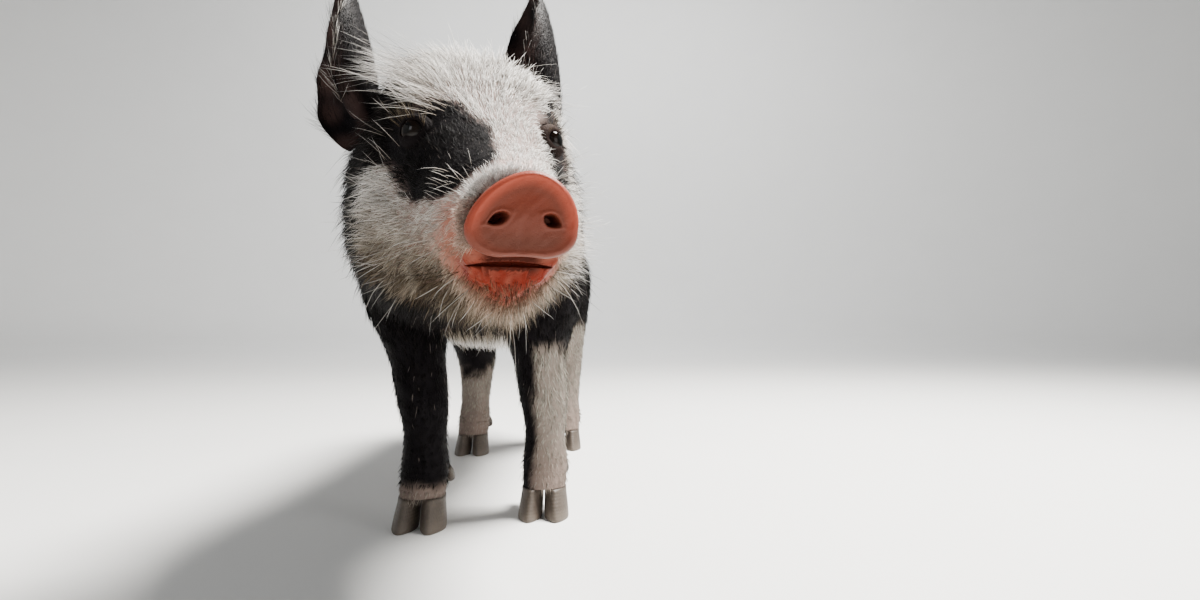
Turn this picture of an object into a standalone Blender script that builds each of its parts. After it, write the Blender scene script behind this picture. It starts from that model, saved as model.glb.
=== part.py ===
"""A life-size young piglet, standing with its head turned to its left.

X runs to the piglet's left, it faces -Y, and Z is up. The body is one long loft, from the snout to the rump,
whose planar sections are parted into head, neck and torso by thin gaps. Legs, ears, tail, claws and eyes are
lofts of their own, each cut to fit the surface it grows from.
"""

import math

import bmesh
import bpy
import numpy as np
from mathutils import Matrix, Vector

GAP = 0.0003
SHARP = math.radians(40.0)

# The spine: it starts at the snout's middle and runs back, turned and dipped in the head, level in the trunk.
SNOUT_MIDDLE = np.array([0.0494, -0.2100, 0.1545])
HEAD_TURN = math.radians(18.0)
HEAD_DIP = math.radians(8.0)
NECK_BEND = (0.130, 0.235)
BODY_LENGTH = 0.542

# Sections of the body, by distance behind the snout. Heights are from the spine, not the floor.
# distance, top, bottom, half width, height of the widest point, roundness above it, roundness below it
BODY_SECTIONS = (
    (0.0080, 0.0140, -0.0150, 0.0175, -0.0025, 1.95, 2.5),
    (0.0100, 0.0148, -0.0240, 0.0176, -0.0035, 2.0, 1.75),
    (0.0150, 0.0160, -0.0290, 0.0186, -0.0045, 2.0, 1.75),
    (0.0240, 0.0200, -0.0325, 0.0222, -0.0055, 2.1, 1.8),
    (0.0360, 0.0248, -0.0350, 0.0268, -0.0065, 2.2, 1.9),
    (0.0520, 0.0325, -0.0370, 0.0322, -0.0085, 2.2, 2.1),
    (0.0700, 0.0430, -0.0395, 0.0382, -0.0090, 2.3, 2.1),
    (0.0880, 0.0560, -0.0415, 0.0432, -0.0080, 2.4, 2.2),
    (0.1050, 0.0690, -0.0438, 0.0485, -0.0070, 2.4, 2.2),
    (0.1250, 0.0780, -0.0458, 0.0520, -0.0065, 2.4, 2.2),
    (0.1450, 0.0805, -0.0485, 0.0545, -0.0050, 2.3, 2.2),
    (0.1650, 0.0790, -0.0530, 0.0595, -0.0020, 2.2, 2.2),
    (0.1900, 0.0750, -0.0590, 0.0665, 0.0000, 2.1, 2.2),
    (0.2150, 0.0685, -0.0650, 0.0700, -0.0010, 2.1, 2.2),
    (0.2450, 0.0640, -0.0690, 0.0700, -0.0040, 2.1, 2.2),
    (0.2900, 0.0625, -0.0735, 0.0675, -0.0080, 2.1, 2.2),
    (0.3600, 0.0650, -0.0770, 0.0672, -0.0120, 2.1, 2.2),
    (0.4300, 0.0655, -0.0690, 0.0660, -0.0080, 2.1, 2.2),
    (0.4800, 0.0580, -0.0555, 0.0620, -0.0030, 2.1, 2.1),
    (0.5150, 0.0440, -0.0400, 0.0505, 0.0000, 2.1, 2.1),
    (0.5340, 0.0300, -0.0220, 0.0340, 0.0010, 2.0, 2.0),
    (BODY_LENGTH, 0.0170, -0.0060, 0.0130, 0.0020, 2.0, 2.0),
)
BODY_SIDES = 36
HEAD_START, HEAD_END = 0.008, 0.150
NECK_END = 0.205

# Rounded forms raised on the head, or sunk into it. Side and height are from the spine.
# distance behind the snout, side, height, reach, lift
HEAD_FORMS = {
    "brow": (0.100, 0.030, 0.052, 0.015, 0.0040),
    "eye_hollow": (0.090, 0.034, 0.034, 0.012, -0.0030),
    "cheek": (0.108, 0.048, -0.014, 0.026, 0.0030),
    "muzzle_hollow": (0.060, 0.032, 0.014, 0.016, -0.0022),
}

# The mouth: its line's height in front and at the corner, how far back it runs, and the lips that swell
# beside it.
MOUTH_FRONT, MOUTH_CORNER = -0.0172, -0.0100
MOUTH_START, MOUTH_END = 0.006, 0.034
MOUTH_OPEN, MOUTH_DEEP, LIP_SWELL, LIP_SPREAD = 0.0011, 0.0042, 0.0011, 0.0034

MATERIALS = {
    "coat_white": ((0.78, 0.75, 0.70), 0.75),
    "coat_black": ((0.035, 0.034, 0.038), 0.65),
    "snout_pink": ((0.72, 0.30, 0.24), 0.45),
    "leg_pale": ((0.62, 0.55, 0.50), 0.70),
    "eye_dark": ((0.02, 0.014, 0.012), 0.10),
    "claw_horn": ((0.24, 0.20, 0.17), 0.45),
}


def material(name):
    """The named Principled finish, made once."""
    if name in bpy.data.materials:
        return bpy.data.materials[name]
    colour, roughness = MATERIALS[name]
    made = bpy.data.materials.new(name)
    made.use_nodes = True
    shader = made.node_tree.nodes["Principled BSDF"]
    shader.inputs["Base Color"].default_value = (*colour, 1.0)
    shader.inputs["Roughness"].default_value = roughness
    shader.inputs["Metallic"].default_value = 0.0
    return made


def smooth_step(x):
    x = np.clip(x, 0.0, 1.0)
    return x * x * (3.0 - 2.0 * x)


def through(rows, at):
    """The rows' values at the given keys, by a cubic through each row. A row's first number is its key."""
    rows = np.asarray(rows, float)
    key, values = rows[:, 0], rows[:, 1:]
    at = np.clip(np.asarray(at, float), key.min(), key.max())
    if key[0] > key[-1]:
        key, values = key[::-1], values[::-1]
    slope = np.gradient(values, key, axis=0)
    i = np.clip(np.searchsorted(key, at, side="right") - 1, 0, len(key) - 2)
    span = (key[i + 1] - key[i])[:, None]
    u = (at - key[i])[:, None] / span
    return (
        (2 * u**3 - 3 * u**2 + 1) * values[i]
        + (u**3 - 2 * u**2 + u) * span * slope[i]
        + (3 * u**2 - 2 * u**3) * values[i + 1]
        + (u**3 - u**2) * span * slope[i + 1]
    )


def spine(distance):
    """The point on the spine at each distance behind the snout, and the forward, left and up ways there."""
    steps = np.linspace(0.0, BODY_LENGTH, 1200)
    bend = 1.0 - smooth_step((steps - NECK_BEND[0]) / (NECK_BEND[1] - NECK_BEND[0]))
    turn, dip = HEAD_TURN * bend, HEAD_DIP * bend
    forward = np.stack([np.sin(turn) * np.cos(dip), -np.cos(turn) * np.cos(dip), -np.sin(dip)], axis=1)
    step = steps[1] - steps[0]
    middle = (forward[1:] + forward[:-1]) * 0.5 * step
    points = SNOUT_MIDDLE - np.vstack([np.zeros(3), np.cumsum(middle, axis=0)])
    distance = np.asarray(distance, float)
    at = np.stack([np.interp(distance, steps, points[:, k]) for k in range(3)], axis=-1)
    ahead = np.stack([np.interp(distance, steps, forward[:, k]) for k in range(3)], axis=-1)
    left = np.stack([-ahead[..., 1], ahead[..., 0], np.zeros_like(ahead[..., 0])], axis=-1)
    left /= np.linalg.norm(left, axis=-1, keepdims=True)
    return at, ahead, left, np.cross(left, -ahead)


def head_point(distance, side, height):
    """The point at a distance behind the snout, a side (left is positive) and a height from the spine."""
    at, _, left, up = spine(distance)
    return at + side * left + height * up


def power(base, exponent):
    return np.sign(base) * np.abs(base) ** exponent


def mouth_height(back):
    """Height of the mouth's line from the spine: level in front, then rising to the corner."""
    climb = smooth_step((back - 0.016) / (MOUTH_END - 0.016)) ** 1.5
    return MOUTH_FRONT + (MOUTH_CORNER - MOUTH_FRONT) * climb


def body_surface(back, angle, grow=0.0):
    """Points of the body's surface, by distance behind the snout and angle up from the left side: two half
    superellipses, one above and one below the widest height, with the head's forms raised on them."""
    back, angle = np.broadcast_arrays(np.asarray(back, float), np.asarray(angle, float))
    flat = through(BODY_SECTIONS, back.ravel())
    top, bottom, half, wide, n_top, n_bottom = (column.reshape(back.shape) for column in flat.T)
    cosine, sine = np.cos(angle), np.sin(angle)
    exponent = 2.0 / np.where(sine >= 0, n_top, n_bottom)
    side = (half + grow) * power(cosine, exponent)
    reach = np.where(sine >= 0, top + grow - wide, wide - bottom + grow)
    height = wide + reach * power(sine, exponent)
    side, height = raised(back, side, height, wide)
    at, _, left, up = spine(back)
    return at + side[..., None] * left + height[..., None] * up


def body_rings(distances, sides=BODY_SIDES, grow=0.0):
    """Closed rings of the body's surface at the given distances behind the snout."""
    angle = np.linspace(0.0, 2 * math.pi, sides, endpoint=False)
    return body_surface(np.asarray(distances, float)[:, None], angle[None, :], grow)


def raised(back, side, height, wide):
    """Side and height after the head's forms and the lips have pushed the surface out from its middle."""
    rise = height - wide
    length = np.hypot(side, rise) + 1e-9
    lift = np.zeros_like(side)
    for form_back, form_side, form_height, reach, amount in HEAD_FORMS.values():
        away = (back - form_back) ** 2 + (np.abs(side) - form_side) ** 2 + (height - form_height) ** 2
        lift += amount * np.exp(-away / reach**2)
    from_mouth = (np.abs(height - mouth_height(back)) - 0.8 * LIP_SPREAD) / LIP_SPREAD
    lift += LIP_SWELL * np.exp(-from_mouth**2) * (1.0 - smooth_step((back - MOUTH_END + 0.012) / 0.014))
    return side + lift * side / length, height + lift * rise / length


def solid(name, points, faces, finish):
    """A closed mesh object with its faces turned out."""
    mesh = bpy.data.meshes.new(name)
    mesh.from_pydata([tuple(p) for p in points], [], faces)
    work = bmesh.new()
    work.from_mesh(mesh)
    bmesh.ops.recalc_face_normals(work, faces=work.faces)
    work.to_mesh(mesh)
    work.free()
    mesh.materials.append(material(finish))
    made = bpy.data.objects.new(name, mesh)
    bpy.context.scene.collection.objects.link(made)
    mesh.shade_smooth()
    return made


def loft(name, rings, finish):
    """A closed solid through planar rings of equal counts, with a flat face at each end."""
    rings = np.asarray(rings, float)
    count, sides = rings.shape[:2]
    index = np.arange(count * sides).reshape(count, sides)
    here, over = index[:-1], index[1:]
    quads = np.stack([here, np.roll(here, -1, 1), np.roll(over, -1, 1), over], axis=-1)
    faces = [list(map(int, q)) for q in quads.reshape(-1, 4)]
    faces += [list(map(int, index[0])), list(map(int, index[-1]))]
    return solid(name, rings.reshape(-1, 3), faces, finish)


def evenly(start, end, spacing):
    return np.linspace(start, end, max(2, int(round(abs(end - start) / spacing)) + 1))


def combine(target, others, operation):
    """Joins other closed solids to the target, or cuts them from it, in one Boolean, and removes them."""
    helpers = bpy.data.collections.new("helpers")
    for other in others:
        for holder in other.users_collection:
            holder.objects.unlink(other)
        helpers.objects.link(other)
    step = target.modifiers.new("combine", "BOOLEAN")
    step.operand_type = "COLLECTION"
    step.collection = helpers
    step.operation = operation
    step.solver = "EXACT"
    applied = bpy.data.meshes.new_from_object(target.evaluated_get(bpy.context.evaluated_depsgraph_get()))
    target.modifiers.clear()
    target.data = applied
    for other in others:
        bpy.data.objects.remove(other)
    bpy.data.collections.remove(helpers)
    keep_largest(target)
    return target


def keep_largest(target):
    """Leaves only the target's largest closed surface."""
    work = bmesh.new()
    work.from_mesh(target.data)
    waiting = set(work.faces)
    groups = []
    while waiting:
        group, reached = [], [waiting.pop()]
        while reached:
            face = reached.pop()
            group.append(face)
            beside = {other for edge in face.edges for other in edge.link_faces} & waiting
            waiting -= beside
            reached.extend(beside)
        groups.append(group)
    groups.sort(key=lambda faces: sum(f.calc_area() for f in faces))
    for group in groups[:-1]:
        bmesh.ops.delete(work, geom=group, context="FACES")
    work.to_mesh(target.data)
    work.free()


def ball(name, centre, radii, finish, rings=10, sides=16):
    """An ellipsoid about an upright axis."""
    polar = np.linspace(0.0, math.pi, rings + 1)[1:-1]
    around = np.linspace(0.0, 2 * math.pi, sides, endpoint=False)
    flat = np.stack([np.outer(np.sin(polar), np.cos(around)), np.outer(np.sin(polar), np.sin(around)),
                     np.outer(np.cos(polar), np.ones(sides))], axis=-1)
    body = (np.asarray(centre) + flat * np.asarray(radii)).reshape(-1, 3)
    poles = np.asarray(centre) + np.array([[0, 0, 1], [0, 0, -1]]) * np.asarray(radii)
    index = np.arange(len(polar) * sides).reshape(-1, sides)
    faces = []
    for here, over in zip(index[:-1], index[1:]):
        faces += [[int(a), int(b), int(c), int(d)]
                  for a, b, c, d in zip(here, np.roll(here, -1), np.roll(over, -1), over)]
    top, base = len(body), len(body) + 1
    faces += [[top, int(b), int(a)] for a, b in zip(index[0], np.roll(index[0], -1))]
    faces += [[base, int(a), int(b)] for a, b in zip(index[-1], np.roll(index[-1], -1))]
    return solid(name, np.vstack([body, poles]), faces, finish)


# Head, neck and torso.
def head_stations():
    return np.concatenate([[HEAD_START, 0.0095, 0.0125], evenly(0.017, HEAD_END, 0.0074)])


def neck_stations():
    return evenly(HEAD_END + GAP, NECK_END, 0.0135)


def torso_stations():
    return np.concatenate([evenly(NECK_END + GAP, 0.490, 0.026), [0.508, 0.524, 0.536, BODY_LENGTH]])


def body_cutter(*stations):
    """A stretch of the body grown by the gap, to cut what meets it."""
    return loft("body_cutter", body_rings(np.concatenate(stations), grow=GAP), "coat_black")


def mouth_cutters():
    """Thin slabs that follow the mouth's line round the muzzle, from inside its skin to outside it."""
    back = evenly(MOUTH_END, MOUTH_START, 0.0045)
    at, _, left, up = spine(back)
    half = through(BODY_SECTIONS, back)[:, 2]
    middle = mouth_height(back)
    fade = np.clip((MOUTH_END - back) / 0.010, 0.15, 1.0)
    rings = []
    for side in (1, -1):
        inner = side * (half - MOUTH_DEEP * fade)
        outer = side * (half + 0.006)
        corners = ((inner, -0.3), (inner, 0.3), (outer, 0.5), (outer, -0.5))
        rings.append(np.stack([at + across[:, None] * left + (middle + lift * MOUTH_OPEN)[:, None] * up
                               for across, lift in corners], axis=1))
    return [loft("mouth_side", rings[0], "snout_pink"), loft("mouth_side", rings[1][::-1], "snout_pink"),
            mouth_front()]


def mouth_front():
    """The part of the mouth's line across the front of the muzzle, under the snout's disc."""
    at, _, left, up = spine(np.array([MOUTH_START - 0.001, 0.0132]))
    half = 0.0165
    rings = []
    for point, way, rise in zip(at, left, up):
        low, high = MOUTH_FRONT - 0.5 * MOUTH_OPEN, MOUTH_FRONT + 0.5 * MOUTH_OPEN
        rings.append([point + side * way + height * rise
                      for side, height in ((-half, low), (half, low), (half, high), (-half, high))])
    return loft("mouth_front", rings, "snout_pink")


# Locks of the bristly coat. Each region: its rows' distances behind the snout, how many rows, the angles that
# a row spans (up from the animal's left side), locks in a row, how far a lock runs back and round, its half
# width, and how far its tip stands out. None grows over an eye or into an ear.
LOCK_THICK, LOCK_SINK, LOCK_CLEAR = 0.0010, 0.0032, 0.0016
LOCKS = {
    "head": (
        ("forehead", (0.064, 0.130), 6, (50, 130), 5, 0.034, 0.26, 0.0056, 0.0030),
        ("cheek_left", (0.064, 0.120), 5, (-52, 20), 3, 0.031, -0.18, 0.0058, 0.0095),
        ("cheek_right", (0.064, 0.120), 5, (172, 232), 3, 0.031, -0.18, 0.0058, 0.0034),
        ("beard", (0.022, 0.108), 5, (-122, -58), 4, 0.027, 0.05, 0.0046, 0.0070),
    ),
    "neck": (
        ("nape", (0.157, 0.180), 2, (68, 112), 5, 0.023, 0.05, 0.0052, 0.0045),
        ("ruff", (0.156, 0.180), 2, (-160, -20), 7, 0.024, 0.0, 0.0068, 0.0035),
    ),
    "torso": (
        ("ridge", (0.211, 0.478), 13, (72, 108), 4, 0.038, 0.03, 0.0058, 0.0036),
    ),
}
LOCK_SEED = 11
EYE_CLEAR, EAR_CLEAR = 0.0165, 0.0030


def lock(back, angle, run, turn, half, lift):
    """A flat, tapered lock: a rhombus carried along the body's surface from a sunk root to a lifted point."""
    along = np.array([0.0, 0.36, 0.74, 1.0])
    path_back, path_angle = back + run * along, angle + turn * along**1.3
    ground = body_surface(path_back, path_angle)
    step = 1e-4
    onward = body_surface(path_back + step, path_angle) - ground
    around = body_surface(path_back, path_angle + 0.01) - ground
    outward = np.cross(onward, around)
    outward /= np.linalg.norm(outward, axis=1, keepdims=True)
    middle = ground - spine(path_back)[0]
    outward *= np.sign(np.sum(outward * middle, axis=1, keepdims=True))
    rise = -LOCK_SINK * (1.0 - along) ** 4 + LOCK_CLEAR * np.minimum(along / along[1], 1.0) + lift * along**2
    centre = ground + rise[:, None] * outward
    heading = np.gradient(centre, axis=0)
    across = np.cross(heading, outward)
    across /= np.linalg.norm(across, axis=1, keepdims=True)
    wide = half * np.array([0.85, 1.0, 0.58])[:, None]
    thick = LOCK_THICK * np.array([1.2, 1.0, 0.7])[:, None]
    sides = [wide * across[:3], thick * outward[:3], -wide * across[:3], -thick * outward[:3]]
    points = np.vstack([(centre[:3, None] + np.stack(sides, axis=1)).reshape(-1, 3), centre[3:]])
    index = np.arange(12).reshape(3, 4)
    over = np.roll(index, -1, axis=1)
    faces = [[int(v) for v in quad] for i in range(2)
             for quad in zip(index[i], over[i], over[i + 1], index[i + 1])]
    faces += [[int(a), int(b), 12] for a, b in zip(index[2], over[2])] + [[0, 1, 2, 3]]
    return solid("lock", points, faces, "coat_white")


def in_the_way(root, angle, length, spread, half):
    """Whether a lock's path would run over an eye, or its sides into an ear."""
    along = np.linspace(0.0, 1.0, 9)
    path = body_surface(root + length * along, angle + spread * along**1.3)
    for side in (-1, 1):
        if np.linalg.norm(path - eye_frame(side)[0], axis=1).min() < EYE_CLEAR:
            return True
    up, across = np.meshgrid(np.linspace(0, 1, 24), np.linspace(-1, 1, 24), indexing="ij")
    room = EAR_CLEAR + half * (1.0 - 0.9 * along**2)
    for spec in EARS.values():
        sheet = ear_sheet(spec, up, across, 0.0).reshape(-1, 3)
        away = np.linalg.norm(path[:, None] - sheet[None], axis=2).min(axis=1)
        if np.any(away < room):
            return True
    return False


def locks_of(node, end):
    """A node's locks in staggered rows, each varied a little, and none longer than the node's own stretch."""
    chance = np.random.default_rng(LOCK_SEED + len(node))
    made = []
    for _, (start, stop), rows, (low, high), count, run, turn, half, lift in LOCKS[node]:
        for i, back in enumerate(np.linspace(start, stop, rows)):
            shift = 0.5 if i % 2 else 0.0
            for j in range(count):
                vary = chance.uniform(-1.0, 1.0, 5)
                angle = math.radians(low + (high - low) * (j + shift) / (count - 0.5) + 3.0 * vary[0])
                root = back + 0.0025 * vary[1]
                length = min(run * (1.0 + 0.15 * vary[2]), end - 0.0006 - root)
                if turn > 0:
                    spread = turn * math.sin(2.0 * angle - math.pi)
                else:
                    spread = turn * math.copysign(1.0, math.cos(angle))
                spread += 0.15 * vary[3]
                width = half * (1.0 + 0.12 * vary[4])
                if not in_the_way(root, angle, length, spread, width):
                    made.append(lock(root, angle, length, spread, width, lift))
    return made


def make_trunk():
    head = loft("head", body_rings(head_stations()), "coat_white")
    neck = loft("neck", body_rings(neck_stations()), "coat_black")
    torso = loft("torso", body_rings(torso_stations()), "coat_black")
    combine(neck, locks_of("neck", NECK_END), "UNION")
    combine(torso, locks_of("torso", TAIL_ROOT_BACK - TAIL_CLEAR), "UNION")
    return head, neck, torso


# The snout's disc: its outline, its thickness and its nostrils.
DISC_TOP, DISC_BOTTOM, DISC_HALF, DISC_WIDE = 0.0150, -0.0142, 0.0190, -0.0030
DISC_ROUND_TOP, DISC_ROUND_BOTTOM = 1.95, 2.6
DISC_BACK, DISC_FRONT = HEAD_START - GAP, -0.0012
NOSTRIL_SIDE, NOSTRIL_HEIGHT = 0.0087, -0.0030


def disc_ring(distance, scale):
    """The disc's outline at a distance behind the snout's middle, drawn in or out by a scale."""
    angle = np.linspace(0.0, 2 * math.pi, 32, endpoint=False)
    cosine, sine = np.cos(angle), np.sin(angle)
    exponent = 2.0 / np.where(sine >= 0, DISC_ROUND_TOP, DISC_ROUND_BOTTOM)
    side = DISC_HALF * power(cosine, exponent)
    reach = np.where(sine >= 0, DISC_TOP - DISC_WIDE, DISC_WIDE - DISC_BOTTOM)
    height = DISC_WIDE + reach * power(sine, exponent)
    at, _, left, up = spine(distance)
    return at + scale * (side[:, None] * left + height[:, None] * up)


def make_snout():
    profile = ((DISC_BACK, 0.88), (0.0040, 0.975), (0.0015, 1.0), (-0.0002, 0.965), (DISC_FRONT, 0.86),
               (-0.0008, 0.45))
    snout = loft("snout", [disc_ring(back, scale) for back, scale in profile], "snout_pink")
    return combine(snout, [nostril(side) for side in (-1, 1)], "DIFFERENCE")


def nostril(side):
    """A tapered, slanted hole, wide at its inner end."""
    rings = []
    for back, size in ((-0.004, 1.25), (0.0, 1.0), (0.0025, 0.72), (0.0050, 0.45)):
        angle = np.linspace(0.0, 2 * math.pi, 12, endpoint=False)
        along = 0.0034 * size * np.cos(angle)
        across = 0.0019 * size * np.sin(angle) * (1.0 - 0.25 * np.cos(angle))
        slant = math.radians(24.0)
        w = side * (NOSTRIL_SIDE + back * 0.12) + side * (along * math.cos(slant) + across * math.sin(slant))
        h = NOSTRIL_HEIGHT + back * 0.25 - along * math.sin(slant) + across * math.cos(slant)
        at, _, left, up = spine(back)
        rings.append(at + w[:, None] * left + h[:, None] * up)
    return loft("nostril", rings, "snout_pink")


# Sections of the legs. The middle is measured outwards from the trunk's middle, and along it.
# height above the floor, middle across, middle along, half width, half length
TRUNK_MIDDLE = -0.0065
FRONT_LEG = (
    (0.1900, 0.0300, 0.0300, 0.0290, 0.0420),
    (0.1550, 0.0420, 0.0250, 0.0310, 0.0400),
    (0.1300, 0.0415, 0.0190, 0.0272, 0.0330),
    (0.1168, 0.0400, 0.0150, 0.0225, 0.0280),
    (0.1040, 0.0385, 0.0110, 0.0185, 0.0235),
    (0.0733, 0.0365, 0.0045, 0.0158, 0.0180),
    (0.0500, 0.0360, 0.0030, 0.0136, 0.0148),
    (0.0310, 0.0360, 0.0030, 0.0150, 0.0168),
    (0.0180, 0.0360, -0.0030, 0.0144, 0.0146),
)
HIND_LEG = (
    (0.2000, 0.0280, 0.2480, 0.0300, 0.0500),
    (0.1650, 0.0380, 0.2400, 0.0320, 0.0500),
    (0.1350, 0.0420, 0.2330, 0.0280, 0.0400),
    (0.1100, 0.0430, 0.2440, 0.0225, 0.0280),
    (0.0860, 0.0430, 0.2610, 0.0185, 0.0205),
    (0.0650, 0.0430, 0.2590, 0.0152, 0.0165),
    (0.0450, 0.0430, 0.2540, 0.0140, 0.0148),
    (0.0310, 0.0430, 0.2500, 0.0152, 0.0165),
    (0.0180, 0.0430, 0.2430, 0.0146, 0.0146),
)
LEG_SIDES = 14
PASTERN = 0.0180

# Each leg: its rows, its side (left is positive), how far its foot is set out and back, and its finish.
LEGS = {
    "front_right": (FRONT_LEG, -1, -0.0105, -0.006, "coat_black"),
    "front_left": (FRONT_LEG, 1, 0.0100, 0.018, "leg_pale"),
    "hind_right": (HIND_LEG, -1, -0.0045, -0.020, "leg_pale"),
    "hind_left": (HIND_LEG, 1, 0.0040, 0.005, "coat_black"),
}
STEP_LOW, STEP_HIGH = 0.050, 0.140


def leg_middle(name, heights):
    """A leg's middle and half sizes at the given heights. The foot's own step fades out up the leg."""
    rows, side, out, back, _ = LEGS[name]
    across, along, half_width, half_length = through(rows, heights).T
    step = 1.0 - smooth_step((np.asarray(heights) - STEP_LOW) / (STEP_HIGH - STEP_LOW))
    return TRUNK_MIDDLE + side * (across + out * step), along + back * step, half_width, half_length


def leg_rings(name, heights, grow=0.0):
    """Level rings down a leg: ellipses whose middles and half sizes run smoothly through the rows."""
    x, y, half_width, half_length = (value[:, None] for value in leg_middle(name, heights))
    angle = np.linspace(0.0, 2 * math.pi, LEG_SIDES, endpoint=False)[None, :]
    x = x + (half_width + grow) * np.cos(angle)
    y = y + (half_length + grow) * np.sin(angle)
    return np.stack([x, y, np.broadcast_to(np.asarray(heights)[:, None], x.shape)], axis=-1)


def leg_stations(name):
    rows = LEGS[name][0]
    return evenly(rows[0][0], rows[-1][0], 0.0115)


def make_leg(name):
    leg = loft(f"leg_{name}", leg_rings(name, leg_stations(name)), LEGS[name][4])
    return combine(leg, [body_cutter(neck_stations(), torso_stations())], "DIFFERENCE")


# Claws: two hoofed toes and two small dewclaws a foot.
TOE_TOP, TOE_SPLAY, TOE_HALF, TOE_LENGTH = PASTERN - GAP, 0.0014, 0.0066, 0.0112


def toe_ring(middle, height, lean, half_width, half_length):
    """A level outline, blunt behind and narrowing to the front."""
    angle = np.linspace(0.0, 2 * math.pi, 14, endpoint=False)
    front = np.clip(-np.sin(angle), 0.0, 1.0)
    x = middle[0] + half_width * np.cos(angle) * (1.0 - 0.28 * front**2)
    y = middle[1] - lean + half_length * np.sin(angle) * (1.0 + 0.18 * front)
    return np.stack([x, y, np.full_like(x, height)], axis=-1)


def make_toe(name, foot, side):
    """A toe's horn, from the flat under the pastern to a flat sole on the floor."""
    rings = []
    for drop in (0.0, 0.35, 0.75, 0.96, 1.0):
        spread = TOE_HALF + 0.0004 + TOE_SPLAY * drop
        swell = 1.0 + 0.14 * math.sin(min(drop, 0.9) * math.pi / 1.8) - (0.05 if drop == 1.0 else 0.0)
        middle = (foot[0] + side * spread, foot[1])
        height, lean = TOE_TOP * (1.0 - drop), 0.0072 * drop
        rings.append(toe_ring(middle, height, lean, TOE_HALF * swell, TOE_LENGTH * swell))
    return loft(name, rings, "claw_horn")


def make_dewclaw(name, leg, side):
    """A small horn behind and above the toes, pointing down and out."""
    height = 0.0310
    x, y, _, half_length = (value[0] for value in leg_middle(leg, [height]))
    root = np.array([x + side * 0.0085, y + half_length - 0.0050, height])
    heading = np.array([side * 0.25, 0.62, -0.74])
    right = np.array([1.0, 0.0, 0.0])
    right -= right.dot(heading) * heading / heading.dot(heading)
    right /= np.linalg.norm(right)
    other = np.cross(heading, right) / np.linalg.norm(heading)
    angle = np.linspace(0.0, 2 * math.pi, 8, endpoint=False)[:, None]
    rings = []
    for far, radius in ((0.0, 0.0042), (0.0065, 0.0044), (0.0108, 0.0034), (0.0135, 0.0014)):
        rings.append(root + heading * far + radius * (np.cos(angle) * right + 0.85 * np.sin(angle) * other))
    claw = loft(name, rings, "claw_horn")
    near = leg_stations(leg)[-5:]
    cutter = loft("leg_cutter", leg_rings(leg, near, grow=GAP), "claw_horn")
    return combine(claw, [cutter], "DIFFERENCE")


def make_legs():
    for name in LEGS:
        make_leg(name)
        x, y, _, _ = (value[0] for value in leg_middle(name, [PASTERN]))
        for way in (-1, 1):
            toe = "outer" if way == LEGS[name][1] else "inner"
            make_toe(f"toe_{name}_{toe}", (x, y), way)
            make_dewclaw(f"dewclaw_{name}_{toe}", name, way)


# Ears: cupped leaves. Rise, and the way the cup faces, are in the head's forward, left and up directions.
# Curl is how far the inner and outer halves bend round at the root, and both at the tip, and drop is how far
# the outer rim hangs below the inner one.
EAR_LENGTH, EAR_HALF, EAR_THICK = 0.078, 0.0345, 0.0030
EARS = {
    "ear_right": {"root": (0.146, -0.043, 0.044), "rise": (-0.17, -0.09, 0.98), "face": (0.28, -0.96, 0.0),
                  "curl": (126.0, 120.0, 34.0), "drop": 0.012},
    "ear_left": {"root": (0.146, 0.047, 0.046), "rise": (-0.18, 0.01, 0.97), "face": (0.28, -0.96, 0.0),
                 "curl": (158.0, 150.0, 62.0), "drop": 0.0},
}


def ear_sheet(spec, along, across, lift):
    """Points of an ear's sheet: an arc whose length and curl change from root to tip, with a lift off it."""
    _, ahead, left, up = spine(spec["root"][0])
    rise = sum(a * b for a, b in zip(spec["rise"], (ahead, left, up)))
    rise = rise / np.linalg.norm(rise)
    face = sum(a * b for a, b in zip(spec["face"], (ahead, left, up)))
    face = face - face.dot(rise) * rise
    face /= np.linalg.norm(face)
    across_way = np.cross(face, rise)
    half = np.maximum(EAR_HALF * np.sin(math.pi * np.clip(0.14 + 0.86 * along**0.75, 0, 1)) ** 0.8, 0.0020)
    inner_curl, outer_curl, tip_curl = (math.radians(value) for value in spec["curl"])
    root_curl = np.where(across < 0, inner_curl, outer_curl)
    curl = tip_curl + (root_curl - tip_curl) * (1.0 - along) ** 1.1
    radius = half / curl
    inward = radius - lift
    x = inward * np.sin(curl * across)
    y = radius - inward * np.cos(curl * across)
    bend = 0.012 * along**2
    hang = spec["drop"] * np.clip(across, 0, 1) ** 1.5 * (1.0 - along)
    root = head_point(*spec["root"])
    return (root + (EAR_LENGTH * along - hang)[..., None] * rise + (y + bend)[..., None] * face
            + x[..., None] * across_way)


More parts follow.
